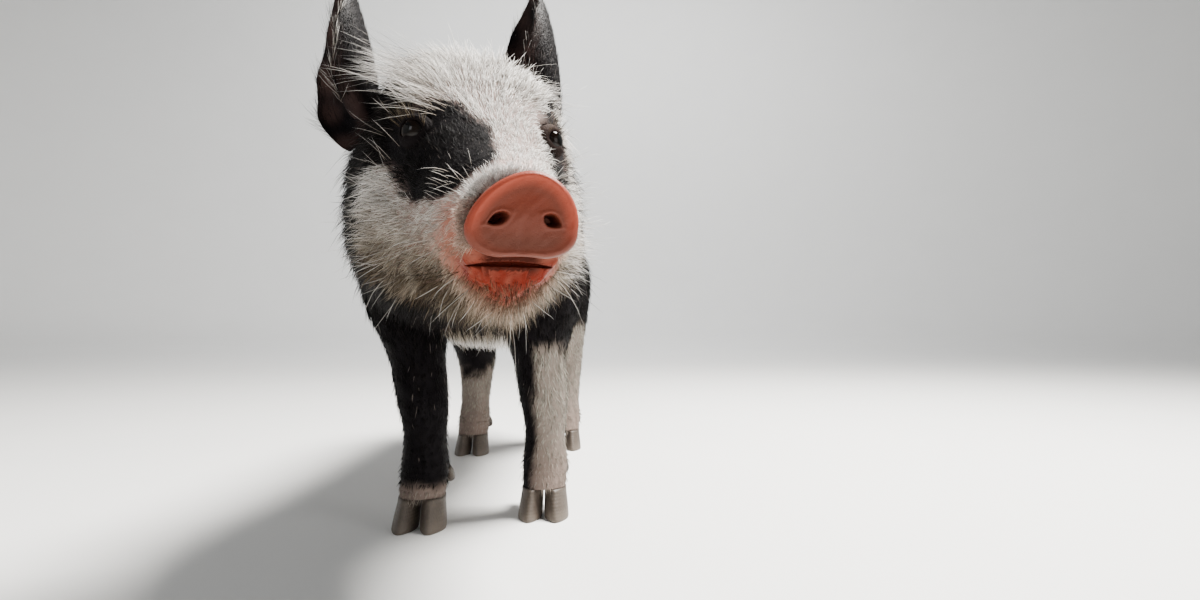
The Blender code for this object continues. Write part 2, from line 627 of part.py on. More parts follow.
def make_ear(name):
    spec = EARS[name]
    along, across = np.meshgrid(np.linspace(0, 1, 10), np.linspace(-1, 1, 11), indexing="ij")
    thin = (1.0 - 0.62 * np.abs(across) ** 3) * (1.0 - 0.55 * along**3)
    inner = ear_sheet(spec, along, across, 0.5 * EAR_THICK * thin)
    outer = ear_sheet(spec, along, across, -0.5 * EAR_THICK * thin)
    rows, columns = along.shape
    points = np.concatenate([inner.reshape(-1, 3), outer.reshape(-1, 3)])
    index = np.arange(rows * columns).reshape(rows, columns)
    back = index + rows * columns
    faces = []
    for i in range(rows - 1):
        for j in range(columns - 1):
            a, b, c, d = index[i, j], index[i, j + 1], index[i + 1, j + 1], index[i + 1, j]
            faces += [[a, b, c], [a, c, d]]
            shift = rows * columns
            faces += [[a + shift, c + shift, b + shift], [a + shift, d + shift, c + shift]]
    for i in range(rows - 1):
        for j in (0, columns - 1):
            faces.append([index[i, j], index[i + 1, j], back[i + 1, j], back[i, j]])
    for j in range(columns - 1):
        for i in (0, rows - 1):
            faces.append([index[i, j], index[i, j + 1], back[i, j + 1], back[i, j]])
    ear = solid(name, points, [list(map(int, f)) for f in faces], "coat_black")
    return combine(ear, [body_cutter(head_stations(), neck_stations(), torso_stations()[:2])], "DIFFERENCE")


# Eyes and lids.
EYE_RADIUS = 0.0078
# distance behind the snout, side, height
EYE_AT = {-1: (0.0815, 0.0260, 0.0326), 1: (0.0865, 0.0278, 0.0340)}
EYE_FACES = (0.66, 0.72, 0.20)


def eye_frame(side):
    """The eyeball's middle, the way it looks, and the directions across and up over its opening."""
    back, out, height = EYE_AT[side]
    _, ahead, left, up = spine(back)
    looks = EYE_FACES[0] * ahead + side * EYE_FACES[1] * left + EYE_FACES[2] * up
    looks /= np.linalg.norm(looks)
    lid_up = up - up.dot(looks) * looks
    lid_up /= np.linalg.norm(lid_up)
    return head_point(back, side * out, height), looks, np.cross(looks, lid_up), lid_up


def lid_ring(side):
    """Both lids as one ring round an almond opening, with its root sunk into the head."""
    middle, looks, across, lid_up = eye_frame(side)
    around = np.linspace(0.0, 2 * math.pi, 20, endpoint=False)
    opening = np.radians(27.0 + 22.0 * np.abs(np.cos(around)) ** 1.6 - 5.0 * (np.sin(around) < 0))
    profile = ((0.0, 0.94), (0.0, 1.10), (14.0, 1.24), (34.0, 1.22), (58.0, 1.05), (58.0, 0.75), (24.0, 0.80))
    points = []
    for lean, out in profile:
        polar = opening + math.radians(lean)
        ray = (np.cos(polar)[:, None] * looks + (np.sin(polar) * np.cos(around))[:, None] * across
               + (np.sin(polar) * np.sin(around))[:, None] * lid_up)
        points.append(middle + EYE_RADIUS * out * ray)
    points = np.stack(points, axis=1)
    count, rounds = points.shape[:2]
    index = np.arange(count * rounds).reshape(count, rounds)
    nxt = np.roll(index, -1, 0)
    quads = np.stack([index, np.roll(index, -1, 1), np.roll(nxt, -1, 1), nxt], axis=-1).reshape(-1, 4)
    return solid("lids", points.reshape(-1, 3), [list(map(int, q)) for q in quads], "coat_black")


# The tail: how long it is, where it leaves the rump, and the angles from level at which it starts and ends.
TAIL_LENGTH, TAIL_RADIUS = 0.098, 0.0062
TAIL_ROOT_BACK, TAIL_ROOT_HEIGHT, TAIL_CLEAR = 0.525, 0.030, 0.010
TAIL_ANGLES = (25.0, -215.0)


def tail_line(along):
    """The tail's middle line: back and up from the rump, then over, down and round in one loose hook."""
    fine = np.linspace(0.0, 1.0, 400)
    turn = np.radians(TAIL_ANGLES[0] + (TAIL_ANGLES[1] - TAIL_ANGLES[0]) * fine**1.5)
    drift = 0.35 * smooth_step((fine - 0.3) / 0.7)
    heading = np.stack([drift, np.cos(turn), np.sin(turn)], axis=1)
    heading /= np.linalg.norm(heading, axis=1, keepdims=True)
    points = np.vstack([np.zeros(3), np.cumsum(heading[1:], axis=0)]) * TAIL_LENGTH / 399
    points = points + head_point(TAIL_ROOT_BACK, 0.0, TAIL_ROOT_HEIGHT)
    return np.stack([np.interp(along, fine, points[:, k]) for k in range(3)], axis=-1)


def make_tail():
    along = np.linspace(0, 1, 19)
    points = tail_line(along)
    tangent = np.gradient(points, axis=0)
    tangent /= np.linalg.norm(tangent, axis=1, keepdims=True)
    side = np.array([1.0, 0.0, 0.0]) - tangent[:, :1] * tangent
    side /= np.linalg.norm(side, axis=1, keepdims=True)
    other = np.cross(tangent, side)
    radius = TAIL_RADIUS * (1 - along) ** 0.7 + 0.0014
    angle = np.linspace(0, 2 * math.pi, 8, endpoint=False)
    rings = points[:, None] + radius[:, None, None] * (
        np.cos(angle)[None, :, None] * side[:, None] + np.sin(angle)[None, :, None] * other[:, None])
    return combine(loft("tail", rings, "coat_white"), [body_cutter(torso_stations())], "DIFFERENCE")


def settle():
    """Moves everything so that the origin is at the middle of the box round it, on the floor, and keeps the
    creases that cuts have left."""
    bpy.context.view_layer.update()
    nodes = [o for o in bpy.context.scene.objects if o.type == "MESH"]
    corners = np.array([v.co for o in nodes for v in o.data.vertices])
    shift = -0.5 * (corners.min(0) + corners.max(0))
    shift[2] = 0.0
    for node in nodes:
        node.data.transform(Matrix.Translation(Vector(shift)))
        node.data.set_sharp_from_angle(angle=SHARP)


def main():
    for old in list(bpy.data.objects):
        bpy.data.objects.remove(old)
    head, neck, torso = make_trunk()
    make_snout()
    for name in EARS:
        make_ear(name)
    sockets = []
    for side, word in ((-1, "right"), (1, "left")):
        middle = eye_frame(side)[0]
        ball(f"eye_{word}", middle, (EYE_RADIUS,) * 3, "eye_dark")
        sockets.append(ball("socket", middle, (EYE_RADIUS + GAP,) * 3, "eye_dark"))
    combine(head, [lid_ring(side) for side in (-1, 1)] + locks_of("head", HEAD_END), "UNION")
    combine(head, sockets + mouth_cutters(), "DIFFERENCE")
    make_legs()
    make_tail()
    settle()


main()
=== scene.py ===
import math
from functools import partial

import bpy
import numpy as np
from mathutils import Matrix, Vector


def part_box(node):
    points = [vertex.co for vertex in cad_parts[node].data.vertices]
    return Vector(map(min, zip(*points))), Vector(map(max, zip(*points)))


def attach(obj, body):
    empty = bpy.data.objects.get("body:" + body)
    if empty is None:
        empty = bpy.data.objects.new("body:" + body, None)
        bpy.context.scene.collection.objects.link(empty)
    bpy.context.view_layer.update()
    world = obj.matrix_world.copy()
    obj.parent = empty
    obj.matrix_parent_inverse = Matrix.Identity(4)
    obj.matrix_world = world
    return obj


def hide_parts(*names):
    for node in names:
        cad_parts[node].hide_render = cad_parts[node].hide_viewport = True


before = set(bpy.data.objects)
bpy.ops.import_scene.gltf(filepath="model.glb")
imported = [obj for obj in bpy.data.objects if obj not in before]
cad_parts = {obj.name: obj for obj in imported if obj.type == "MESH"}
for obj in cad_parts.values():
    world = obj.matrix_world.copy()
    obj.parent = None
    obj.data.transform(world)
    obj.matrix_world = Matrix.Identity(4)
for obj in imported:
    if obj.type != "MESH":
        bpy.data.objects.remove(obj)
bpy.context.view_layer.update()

# The animal's own measures, in metres, as its solids have them.
SNOUT_MIDDLE = np.array([0.0494, -0.2100, 0.1545])
HEAD_TURN, HEAD_DIP = math.radians(18.0), math.radians(8.0)
NECK_BEND = (0.130, 0.235)
BODY_LENGTH = 0.542
HEAD_START = 0.008

# distance behind the snout, top, bottom, half width, widest height, roundness above it, roundness below it
BODY_SECTIONS = (
    (0.0080, 0.0140, -0.0150, 0.0175, -0.0025, 1.95, 2.5),
    (0.0100, 0.0148, -0.0240, 0.0176, -0.0035, 2.0, 1.75),
    (0.0150, 0.0160, -0.0290, 0.0186, -0.0045, 2.0, 1.75),
    (0.0240, 0.0200, -0.0325, 0.0222, -0.0055, 2.1, 1.8),
    (0.0360, 0.0248, -0.0350, 0.0268, -0.0065, 2.2, 1.9),
    (0.0520, 0.0325, -0.0370, 0.0322, -0.0085, 2.2, 2.1),
    (0.0700, 0.0430, -0.0395, 0.0382, -0.0090, 2.3, 2.1),
    (0.0880, 0.0560, -0.0415, 0.0432, -0.0080, 2.4, 2.2),
    (0.1050, 0.0690, -0.0438, 0.0485, -0.0070, 2.4, 2.2),
    (0.1250, 0.0780, -0.0458, 0.0520, -0.0065, 2.4, 2.2),
    (0.1450, 0.0805, -0.0485, 0.0545, -0.0050, 2.3, 2.2),
    (0.1650, 0.0790, -0.0530, 0.0595, -0.0020, 2.2, 2.2),
    (0.1900, 0.0750, -0.0590, 0.0665, 0.0000, 2.1, 2.2),
    (0.2150, 0.0685, -0.0650, 0.0700, -0.0010, 2.1, 2.2),
    (0.2450, 0.0640, -0.0690, 0.0700, -0.0040, 2.1, 2.2),
    (0.2900, 0.0625, -0.0735, 0.0675, -0.0080, 2.1, 2.2),
    (0.3600, 0.0650, -0.0770, 0.0672, -0.0120, 2.1, 2.2),
    (0.4300, 0.0655, -0.0690, 0.0660, -0.0080, 2.1, 2.2),
    (0.4800, 0.0580, -0.0555, 0.0620, -0.0030, 2.1, 2.1),
    (0.5150, 0.0440, -0.0400, 0.0505, 0.0000, 2.1, 2.1),
    (0.5340, 0.0300, -0.0220, 0.0340, 0.0010, 2.0, 2.0),
    (BODY_LENGTH, 0.0170, -0.0060, 0.0130, 0.0020, 2.0, 2.0),
)
# distance behind the snout, side, height, reach, lift
HEAD_FORMS = (
    (0.093, 0.029, 0.049, 0.015, 0.0040),
    (0.0835, 0.032, 0.033, 0.012, -0.0030),
    (0.108, 0.048, -0.014, 0.026, 0.0030),
    (0.060, 0.032, 0.014, 0.016, -0.0022),
)
MOUTH_FRONT, MOUTH_CORNER = -0.0172, -0.0100
MOUTH_START, MOUTH_END, MUZZLE_FRONT = 0.006, 0.034, 0.0088
MOUTH_OPEN, MOUTH_DEEP, LIP_SWELL, LIP_SPREAD = 0.0011, 0.0042, 0.0011, 0.0034
DISC_TOP, DISC_BOTTOM, DISC_HALF, DISC_WIDE = 0.0140, -0.0142, 0.0182, -0.0042
DISC_ROUND_TOP, DISC_ROUND_BOTTOM, DISC_OUT, DISC_LEAN = 1.80, 2.6, 0.0017, 0.17
NOSTRIL_SIDE, NOSTRIL_HEIGHT, NOSTRIL_SLANT, NOSTRIL_OUT = 0.0087, -0.0015, math.radians(26.0), 0.0002
NOSTRIL_LONG, NOSTRIL_SHORT, NOSTRIL_DEEP = 0.0034, 0.0020, 0.0090
EYE_RADIUS, EYE_FACES = 0.0078, (0.66, 0.72, 0.20)
EYE_AT = {-1: (0.0815, 0.0260, 0.0326), 1: (0.0865, 0.0278, 0.0340)}

TRUNK_MIDDLE = -0.0065
# height above the floor, middle across, middle along, half width, half length
FRONT_LEG = (
    (0.1900, 0.0300, 0.0300, 0.0290, 0.0420),
    (0.1550, 0.0420, 0.0250, 0.0310, 0.0400),
    (0.1300, 0.0415, 0.0190, 0.0272, 0.0330),
    (0.1168, 0.0400, 0.0150, 0.0225, 0.0280),
    (0.1040, 0.0385, 0.0110, 0.0185, 0.0235),
    (0.0733, 0.0365, 0.0045, 0.0158, 0.0180),
    (0.0500, 0.0360, 0.0030, 0.0136, 0.0148),
    (0.0310, 0.0360, 0.0030, 0.0150, 0.0168),
    (0.0180, 0.0360, -0.0030, 0.0144, 0.0146),
)
HIND_LEG = (
    (0.2000, 0.0280, 0.2480, 0.0300, 0.0500),
    (0.1650, 0.0380, 0.2400, 0.0320, 0.0500),
    (0.1350, 0.0420, 0.2330, 0.0280, 0.0400),
    (0.1100, 0.0430, 0.2440, 0.0225, 0.0280),
    (0.0860, 0.0430, 0.2610, 0.0185, 0.0205),
    (0.0650, 0.0430, 0.2590, 0.0152, 0.0165),
    (0.0450, 0.0430, 0.2540, 0.0140, 0.0148),
    (0.0310, 0.0430, 0.2500, 0.0152, 0.0165),
    (0.0180, 0.0430, 0.2430, 0.0146, 0.0146),
)
PASTERN, STEP_LOW, STEP_HIGH = 0.0180, 0.050, 0.140
# rows, side (left is positive), how far the foot is set out and back
LEGS = {
    "front_right": (FRONT_LEG, -1, -0.0105, -0.006),
    "front_left": (FRONT_LEG, 1, 0.0100, 0.018),
    "hind_right": (HIND_LEG, -1, -0.0045, -0.020),
    "hind_left": (HIND_LEG, 1, 0.0040, 0.005),
}
GAP = 0.0003
TOE_TOP, TOE_SPLAY, TOE_HALF, TOE_LENGTH = PASTERN - GAP, 0.0014, 0.0066, 0.0112
EAR_LENGTH, EAR_HALF, EAR_THICK = 0.078, 0.0345, 0.0024
EARS = {
    "right": {"root": (0.146, -0.043, 0.044), "rise": (-0.17, -0.09, 0.98), "face": (0.28, -0.96, 0.0),
              "curl": (126.0, 120.0, 34.0), "drop": 0.012},
    "left": {"root": (0.146, 0.047, 0.046), "rise": (-0.18, 0.01, 0.97), "face": (0.28, -0.96, 0.0),
             "curl": (158.0, 150.0, 62.0), "drop": 0.0},
}
TAIL_LENGTH, TAIL_RADIUS = 0.098, 0.0062
TAIL_ROOT_BACK, TAIL_ROOT_HEIGHT, TAIL_ANGLES = 0.525, 0.030, (25.0, -215.0)

# Colours of hair and skin.
# CREAM and TAN_AND_SHADE are the hair's own cream and tan, darkened further as painted shade for the lower
# head.
WHITE, CREAM, TAN_AND_SHADE = (0.94, 0.92, 0.89), (0.46, 0.385, 0.28), (0.082, 0.058, 0.036)
# BROWN_BLACK_AND_SHEEN is a lighter, browner black for some black hairs: partly their own colour, partly
# painted sheen.
BLACK, BROWN_BLACK_AND_SHEEN = (0.0025, 0.0022, 0.0026), (0.010, 0.008, 0.0075)
PINK_SKIN, DARK_SKIN = (0.42, 0.22, 0.17), (0.006, 0.005, 0.006)
# SALMON_RIM_AND_LIGHT is a paler rim, only along the disc's top: partly its own colour, partly painted light
# from above.
SALMON, SALMON_RIM_AND_LIGHT, LIP_RED = (0.105, 0.0260, 0.0145), (0.28, 0.049, 0.026), (0.140, 0.0125, 0.005)
# DISC_LOW_SHEEN is painted sheen, a greyer band low on the disc; DISC_HIGH_AND_LIGHT is a redder, brighter
# band high on it, partly painted light from above.
DISC_LOW_SHEEN, DISC_HIGH_AND_LIGHT = (0.082, 0.030, 0.020), (0.16, 0.026, 0.012)
# DISC_UNDER_PAINTED_SHADE is painted shade on the disc's underside wall.
DISC_UNDER_PAINTED_SHADE, NOSTRIL_INSIDE = (0.022, 0.006, 0.004), (0.110, 0.022, 0.014)
# LIP_PAINTED_SHADOW is painted shadow on the upper lip just under the disc.
MOUTH_FRONT_RED, MOUTH_BACK_RED, LIP_PAINTED_SHADOW = (0.080, 0.014, 0.008), (0.150, 0.020, 0.010), (0.045, 0.008, 0.004)
# CHIN_HAIR_AND_SHADE is the chin's brown-red hair, darkened further as painted shade under the jaw.
BARE_MUZZLE, MUZZLE_HAIR, CHIN_HAIR_AND_SHADE = (0.26, 0.070, 0.040), (0.56, 0.31, 0.22), (0.120, 0.046, 0.023)
LEG_WHITE, LEG_LOW, GREY_HAIR = (0.41, 0.395, 0.345), (0.36, 0.29, 0.255), (0.20, 0.17, 0.155)
EAR_INSIDE, TAIL_PALE = (0.060, 0.036, 0.032), (0.30, 0.21, 0.17)
LID_RIM = {-1: (0.008, 0.006, 0.006), 1: (0.020, 0.012, 0.010)}
LID_SKIN = {-1: DARK_SKIN, 1: (0.024, 0.017, 0.015)}
# How much darker a pale hair's root is than its tip: painted shade deep in the coat.
HAIR_ROOT_PAINTED_SHADE = (0.36, 0.31, 0.26)

# How finely the skin is divided, the coat's fixed seed, the most triangles that one of its pieces has, and
# how deep a tuft's root sits in the skin.
BODY_SIDES, LEG_SIDES, EAR_SIDES, TAIL_SIDES, DISC_SIDES = 200, 72, 96, 28, 168
LEG_STEP, EAR_ROWS, TAIL_ROWS, EYE_SIDES = 0.0022, 52, 120, 56
COAT_SEED, PIECE_TRIANGLES, ROOT_SINK = 7, 190000, 0.0006


def smooth_step(x):
    """0 to 1 with level ends: three squares less two cubes."""
    x = np.clip(x, 0.0, 1.0)
    return x * x * (3.0 - 2.0 * x)


def up_from(value, start, reach):
    """0 below the start, rising smoothly to 1 over the reach."""
    return smooth_step((value - start) / reach)


def down_from(value, start, reach):
    """1 below the start, falling smoothly to 0 over the reach."""
    return 1.0 - up_from(value, start, reach)


def power(base, exponent):
    """A power that keeps the base's sign."""
    return np.sign(base) * np.abs(base) ** exponent


def unit(vectors):
    return vectors / np.maximum(np.linalg.norm(vectors, axis=-1, keepdims=True), 1e-12)


def dot(a, b):
    return np.sum(a * b, axis=-1)


def near(value, middle, reach):
    """The squared distance from a middle, in shares of a reach."""
    return ((value - middle) / reach) ** 2


def bell(value, middle, reach):
    """1 at the middle, falling off smoothly over the reach on both sides."""
    return np.exp(-near(value, middle, reach))


def turned(angle, middle):
    """The angle from a middle, in degrees, the short way round."""
    return (np.degrees(angle) - middle + 180.0) % 360.0 - 180.0


def through(rows, at):
    """The rows' values at the given keys, by a cubic through each row. A row's first number is its key."""
    rows = np.asarray(rows, float)
    key, values = rows[:, 0], rows[:, 1:]
    at = np.clip(np.asarray(at, float), key.min(), key.max())
    if key[0] > key[-1]:
        key, values = key[::-1], values[::-1]
    slope = np.gradient(values, key, axis=0)
    i = np.clip(np.searchsorted(key, at, side="right") - 1, 0, len(key) - 2)
    span = (key[i + 1] - key[i])[:, None]
    u = (at - key[i])[:, None] / span
    return (
        (2 * u**3 - 3 * u**2 + 1) * values[i]
        + (u**3 - 2 * u**2 + u) * span * slope[i]
        + (3 * u**2 - 2 * u**3) * values[i + 1]
        + (u**3 - u**2) * span * slope[i + 1]
    )


def spine_table(start):
    """Points and forward ways down the spine: straight in the head, bending over the neck, level after it."""
    steps = np.linspace(0.0, BODY_LENGTH, 1200)
    bend = down_from(steps, NECK_BEND[0], NECK_BEND[1] - NECK_BEND[0])
    turn, dip = HEAD_TURN * bend, HEAD_DIP * bend
    ahead = np.stack([np.sin(turn) * np.cos(dip), -np.cos(turn) * np.cos(dip), -np.sin(dip)], axis=1)
    middle = (ahead[1:] + ahead[:-1]) * 0.5 * (steps[1] - steps[0])
    return steps, start - np.vstack([np.zeros(3), np.cumsum(middle, axis=0)]), ahead


SPINE = spine_table(SNOUT_MIDDLE)


def spine(distance):
    """The spine's point at each distance behind the snout, and the forward, left and up ways there."""
    steps, points, forward = SPINE
    distance = np.asarray(distance, float)
    at = np.stack([np.interp(distance, steps, points[:, k]) for k in range(3)], axis=-1)
    ahead = np.stack([np.interp(distance, steps, forward[:, k]) for k in range(3)], axis=-1)
    left = unit(np.stack([-ahead[..., 1], ahead[..., 0], np.zeros_like(ahead[..., 0])], axis=-1))
    return at, ahead, left, np.cross(left, -ahead)


def head_point(distance, side, height):
    """A point at a distance behind the snout, to a side and above the spine."""
    at, _, left, up = spine(distance)
    return at + side * left + height * up


def eye_frame(side):
    """The eyeball's middle, the way it looks, and the ways across and up over its opening."""
    back, out, height = EYE_AT[side]
    _, ahead, left, up = spine(back)
    looks = unit(EYE_FACES[0] * ahead + side * EYE_FACES[1] * left + EYE_FACES[2] * up)
    lid_up = unit(up - dot(up, looks) * looks)
    return head_point(back, side * out, height), looks, np.cross(looks, lid_up), lid_up


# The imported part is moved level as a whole, so the spine is moved with it, by where one eye lies.
eye_low, eye_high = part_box("eye_left")
SHIFT = 0.5 * (np.array(eye_low) + np.array(eye_high)) - eye_frame(1)[0]
SHIFT[2] = 0.0
SPINE = spine_table(SNOUT_MIDDLE + SHIFT)


def ripple(points, size, seed):
    """A smooth random field, about -1 to 1: waves of many directions and near sizes, added up."""
    chance = np.random.default_rng(seed)
    ways = unit(chance.normal(size=(9, 3))) * (2 * math.pi / (size * chance.uniform(0.6, 1.7, 9)))[:, None]
    phase = chance.uniform(0, 2 * math.pi, 9)
    return np.sin(points @ ways.T + phase).sum(axis=-1) / 3.2


def mouth_height(back):
    """The mouth's line: level at the front, climbing to its corner."""
    climb = up_from(back, 0.016, MOUTH_END - 0.016) ** 1.5
    return MOUTH_FRONT + (MOUTH_CORNER - MOUTH_FRONT) * climb


def section(back):
    """The body section's top, bottom, half width, widest height and two roundnesses at each distance."""
    back = np.asarray(back, float)
    return [column.reshape(back.shape) for column in through(BODY_SECTIONS, back.ravel()).T]


def raised(back, side, height, wide):
    """Side and height after the head's forms and the lips have pushed the surface out from its middle."""
    rise = height - wide
    length = np.hypot(side, rise) + 1e-9
    lift = np.zeros_like(side)
    for form_back, form_side, form_height, reach, amount in HEAD_FORMS:
        away = (back - form_back) ** 2 + (np.abs(side) - form_side) ** 2 + (height - form_height) ** 2
        lift += amount * np.exp(-away / reach**2)
    from_mouth = (np.abs(height - mouth_height(back)) - 0.8 * LIP_SPREAD) / LIP_SPREAD
    lift += LIP_SWELL * np.exp(-from_mouth**2) * (1.0 - smooth_step((back - MOUTH_END + 0.012) / 0.014))
    return side + lift * side / length, height + lift * rise / length


def body_surface(back, angle, grow):
    """Two half superellipses about the spine, above and below the widest height, with the head's forms."""
    back, angle = np.broadcast_arrays(np.asarray(back, float), np.asarray(angle, float))
    top, bottom, half, wide, n_top, n_bottom = section(back)
    cosine, sine = np.cos(angle), np.sin(angle)
    exponent = 2.0 / np.where(sine >= 0, n_top, n_bottom)
    side = (half + grow) * power(cosine, exponent)
    reach = np.where(sine >= 0, top + grow - wide, wide - bottom + grow)
    height = wide + reach * power(sine, exponent)
    side, height = raised(back, side, height, wide)
    at, _, left, up = spine(back)
    return at + side[..., None] * left + height[..., None] * up


def body_inset(back):
    """How deep the skin lies under the solids' surface: hardly on the muzzle, the coat's depth behind it."""
    return 0.0004 + 0.0022 * up_from(back, 0.012, 0.070)


def body_skin(back, angle):
    """The body's skin: the inset surface, with folds over the muzzle, behind the cheek and round the neck."""
    back, angle = np.broadcast_arrays(np.asarray(back, float), np.asarray(angle, float))
    over = np.clip(np.sin(angle), 0.0, 1.0) ** 1.5
    muzzle = 0.00045 * np.sin((back - 0.010) * 2 * math.pi / 0.0052) * over
    muzzle = muzzle * up_from(back, 0.0095, 0.003) * down_from(back, 0.020, 0.016)
    throat = np.clip(-np.sin(angle), 0.0, 1.0) ** 2
    neck = 0.0012 * np.sin((back + 0.006 * np.cos(angle)) * 2 * math.pi / 0.021) * (0.35 + 0.65 * throat)
    neck = neck * up_from(back, 0.125, 0.02) * down_from(back, 0.20, 0.03)
    flat = body_surface(back, angle, -body_inset(back))
    chin = 0.0006 * ripple(flat, 0.0055, 8) * np.clip(-0.5 - np.sin(angle), 0.0, 0.5) * 2.0
    chin = chin * down_from(back, 0.016, 0.012)
    corner = bell(back, 0.0105, 0.0040)
    chin += 0.0013 * corner * sum(np.exp(-((turned(angle, way) / 11.0) ** 2)) for way in (218.0, 322.0))
    swell = 0.0006 * ripple(flat, 0.035, 3) * up_from(back, 0.05, 0.05)
    return body_surface(back, angle, -body_inset(back) + muzzle + neck + chin + swell)


def muzzle_end(angle, share):
    """The muzzle's blunt front: its first outline drawn in behind the disc and bulged a little forward."""
    middle, ahead, _, _ = spine(MUZZLE_FRONT)
    way = body_skin(MUZZLE_FRONT, angle) - middle
    return middle + share[..., None] * way + 0.0010 * (1.0 - share[..., None] ** 4) * ahead


def body_place(points):
    """The distance behind the snout, the section's angle, the side and the height of points near the body."""
    back = np.clip(points[:, 1] - SPINE[1][0, 1], 0.0, BODY_LENGTH)
    for _ in range(8):
        at, ahead, _, _ = spine(back)
        back = np.clip(back - dot(points - at, ahead), -0.02, BODY_LENGTH + 0.02)
    at, _, left, up = spine(back)
    side, height = dot(points - at, left), dot(points - at, up)
    top, bottom, half, wide, n_top, n_bottom = section(back)
    rise = height - wide
    upper = rise >= 0
    reach, exponent = np.where(upper, top - wide, wide - bottom), np.where(upper, n_top, n_bottom) / 2.0
    angle = np.arctan2(power(rise / reach, exponent), power(side / half, exponent))
    return back, angle, side, height


def body_depth(points):
    """How far points stand outside the body's skin (negative inside), by their share of its radius."""
    back, _, side, height = body_place(points)
    top, bottom, half, wide, n_top, n_bottom = section(back)
    inset = body_inset(back)
    rise = height - wide
    n = np.where(rise >= 0, n_top, n_bottom)
    reach = np.where(rise >= 0, top - wide, wide - bottom) - inset
    share = (np.abs(side / (half - inset)) ** n + np.abs(rise / reach) ** n) ** (1.0 / n)
    out = np.hypot(side, rise) * (1.0 - 1.0 / np.maximum(share, 1e-6))
    return np.where((back < HEAD_START) | (back > BODY_LENGTH), 0.05, out)


def leg_middle(name, heights):
    """A leg's middle and half sizes at the given heights. The foot's own step fades out up the leg."""
    rows, side, out, back = LEGS[name]
    across, along, half_width, half_length = through(rows, heights).T
    step = down_from(np.asarray(heights), STEP_LOW, STEP_HIGH - STEP_LOW)
    x = TRUNK_MIDDLE + side * (across + out * step) + SHIFT[0]
    return x, along + back * step + SHIFT[1], half_width, half_length


def leg_skin(name, height, angle):
    """A leg's skin: level ellipses a little inside the solid, with a knee or hock, a hollow behind the cannon
    and creases over the fetlock."""
    height, angle = np.broadcast_arrays(np.asarray(height, float), np.asarray(angle, float))
    x, y, half_width, half_length = (v.reshape(height.shape) for v in leg_middle(name, height.ravel()))
    front, behind = np.clip(-np.sin(angle), 0, 1), np.clip(np.sin(angle), 0, 1)
    cannon = bell(height, 0.050, 0.014)
    hollow = 0.0011 * cannon * np.exp(-((np.abs(np.cos(angle)) - 0.62) / 0.25) ** 2) * behind
    joint = bell(height, 0.074, 0.009)
    knee = 0.0012 * joint * front**2 if name.startswith("front") else 0.0014 * joint * behind**3
    crease = 0.0003 * np.sin(height * 2 * math.pi / 0.0036) * bell(height, 0.030, 0.009)
    grow = -0.0010 - hollow + knee + crease
    along, across = (half_length + grow) * np.sin(angle), (half_width + grow) * np.cos(angle)
    return np.stack([x + across, y + along, height], axis=-1)


def leg_depth(name, points):
    """How far points stand outside a leg (negative inside it), by their share of its ellipse."""
    x, y, half_width, half_length = leg_middle(name, np.clip(points[:, 2], PASTERN, 0.19))
    dx, dy = points[:, 0] - x, points[:, 1] - y
    share = np.hypot(dx / half_width, dy / half_length)
    return np.hypot(dx, dy) * (1.0 - 1.0 / np.maximum(share, 1e-6))


def ear_ways(spec):
    """An ear's root, and the ways along it, out of its cup and across it."""
    _, ahead, left, up = spine(spec["root"][0])
    rise = unit(sum(a * b for a, b in zip(spec["rise"], (ahead, left, up))))
    face = sum(a * b for a, b in zip(spec["face"], (ahead, left, up)))
    face = unit(face - dot(face, rise) * rise)
    return head_point(*spec["root"]), rise, face, np.cross(face, rise)


def ear_sheet(name, along, across, lift):
    """An arc whose length and curl change from root to tip, lifted off its middle: the cup of an ear."""
    spec = EARS[name]
    root, rise, face, across_way = ear_ways(spec)
    half = np.maximum(EAR_HALF * np.sin(math.pi * np.clip(0.14 + 0.86 * along**0.75, 0, 1)) ** 0.8, 0.0020)
    inner_curl, outer_curl, tip_curl = (math.radians(value) for value in spec["curl"])
    root_curl = np.where(across < 0, inner_curl, outer_curl)
    curl = tip_curl + (root_curl - tip_curl) * (1.0 - along) ** 1.1
    radius = half / curl
    inward = radius - lift
    x = inward * np.sin(curl * across)
    y = radius - inward * np.cos(curl * across)
    hang = spec["drop"] * np.clip(across, 0, 1) ** 1.5 * (1.0 - along)
    return (root + (EAR_LENGTH * along - hang)[..., None] * rise + (y + 0.012 * along**2)[..., None] * face
            + x[..., None] * across_way)


def ear_skin(name, along, around):
    """An ear's skin all round: a thin superellipse wrapped on the cup, with ribs inside it and a soft rim."""
    along, around = np.broadcast_arrays(np.asarray(along, float), np.asarray(around, float))
    across, through_it = power(np.cos(around), 0.80), power(np.sin(around), 0.55)
    thick = 0.5 * EAR_THICK * (1.0 - 0.5 * np.abs(across) ** 3) * (1.0 - 0.5 * along**3)
    ribs = 0.0005 * np.sin(across * 11.0 + 3.0 * along) * np.clip(1.0 - np.abs(across) * 1.1, 0, 1)
    ribs = ribs * np.clip(np.sin(around), 0, 1) * (1.0 - along)
    return ear_sheet(name, along, across * (1.0 - 0.02 * np.sin(along * 23.0)), thick * through_it + ribs)


def tail_line(along):
    """The tail's middle line: back and up from the rump, then over, down and round in one loose hook."""
    fine = np.linspace(0.0, 1.0, 400)
    turn = np.radians(TAIL_ANGLES[0] + (TAIL_ANGLES[1] - TAIL_ANGLES[0]) * fine**1.5)
    drift = 0.35 * up_from(fine, 0.3, 0.7)
    heading = unit(np.stack([drift, np.cos(turn), np.sin(turn)], axis=1))
    points = np.vstack([np.zeros(3), np.cumsum(heading[1:], axis=0)]) * TAIL_LENGTH / 399
    points = points + head_point(TAIL_ROOT_BACK, 0.0, TAIL_ROOT_HEIGHT)
    return np.stack([np.interp(along, fine, points[:, k]) for k in range(3)], axis=-1)


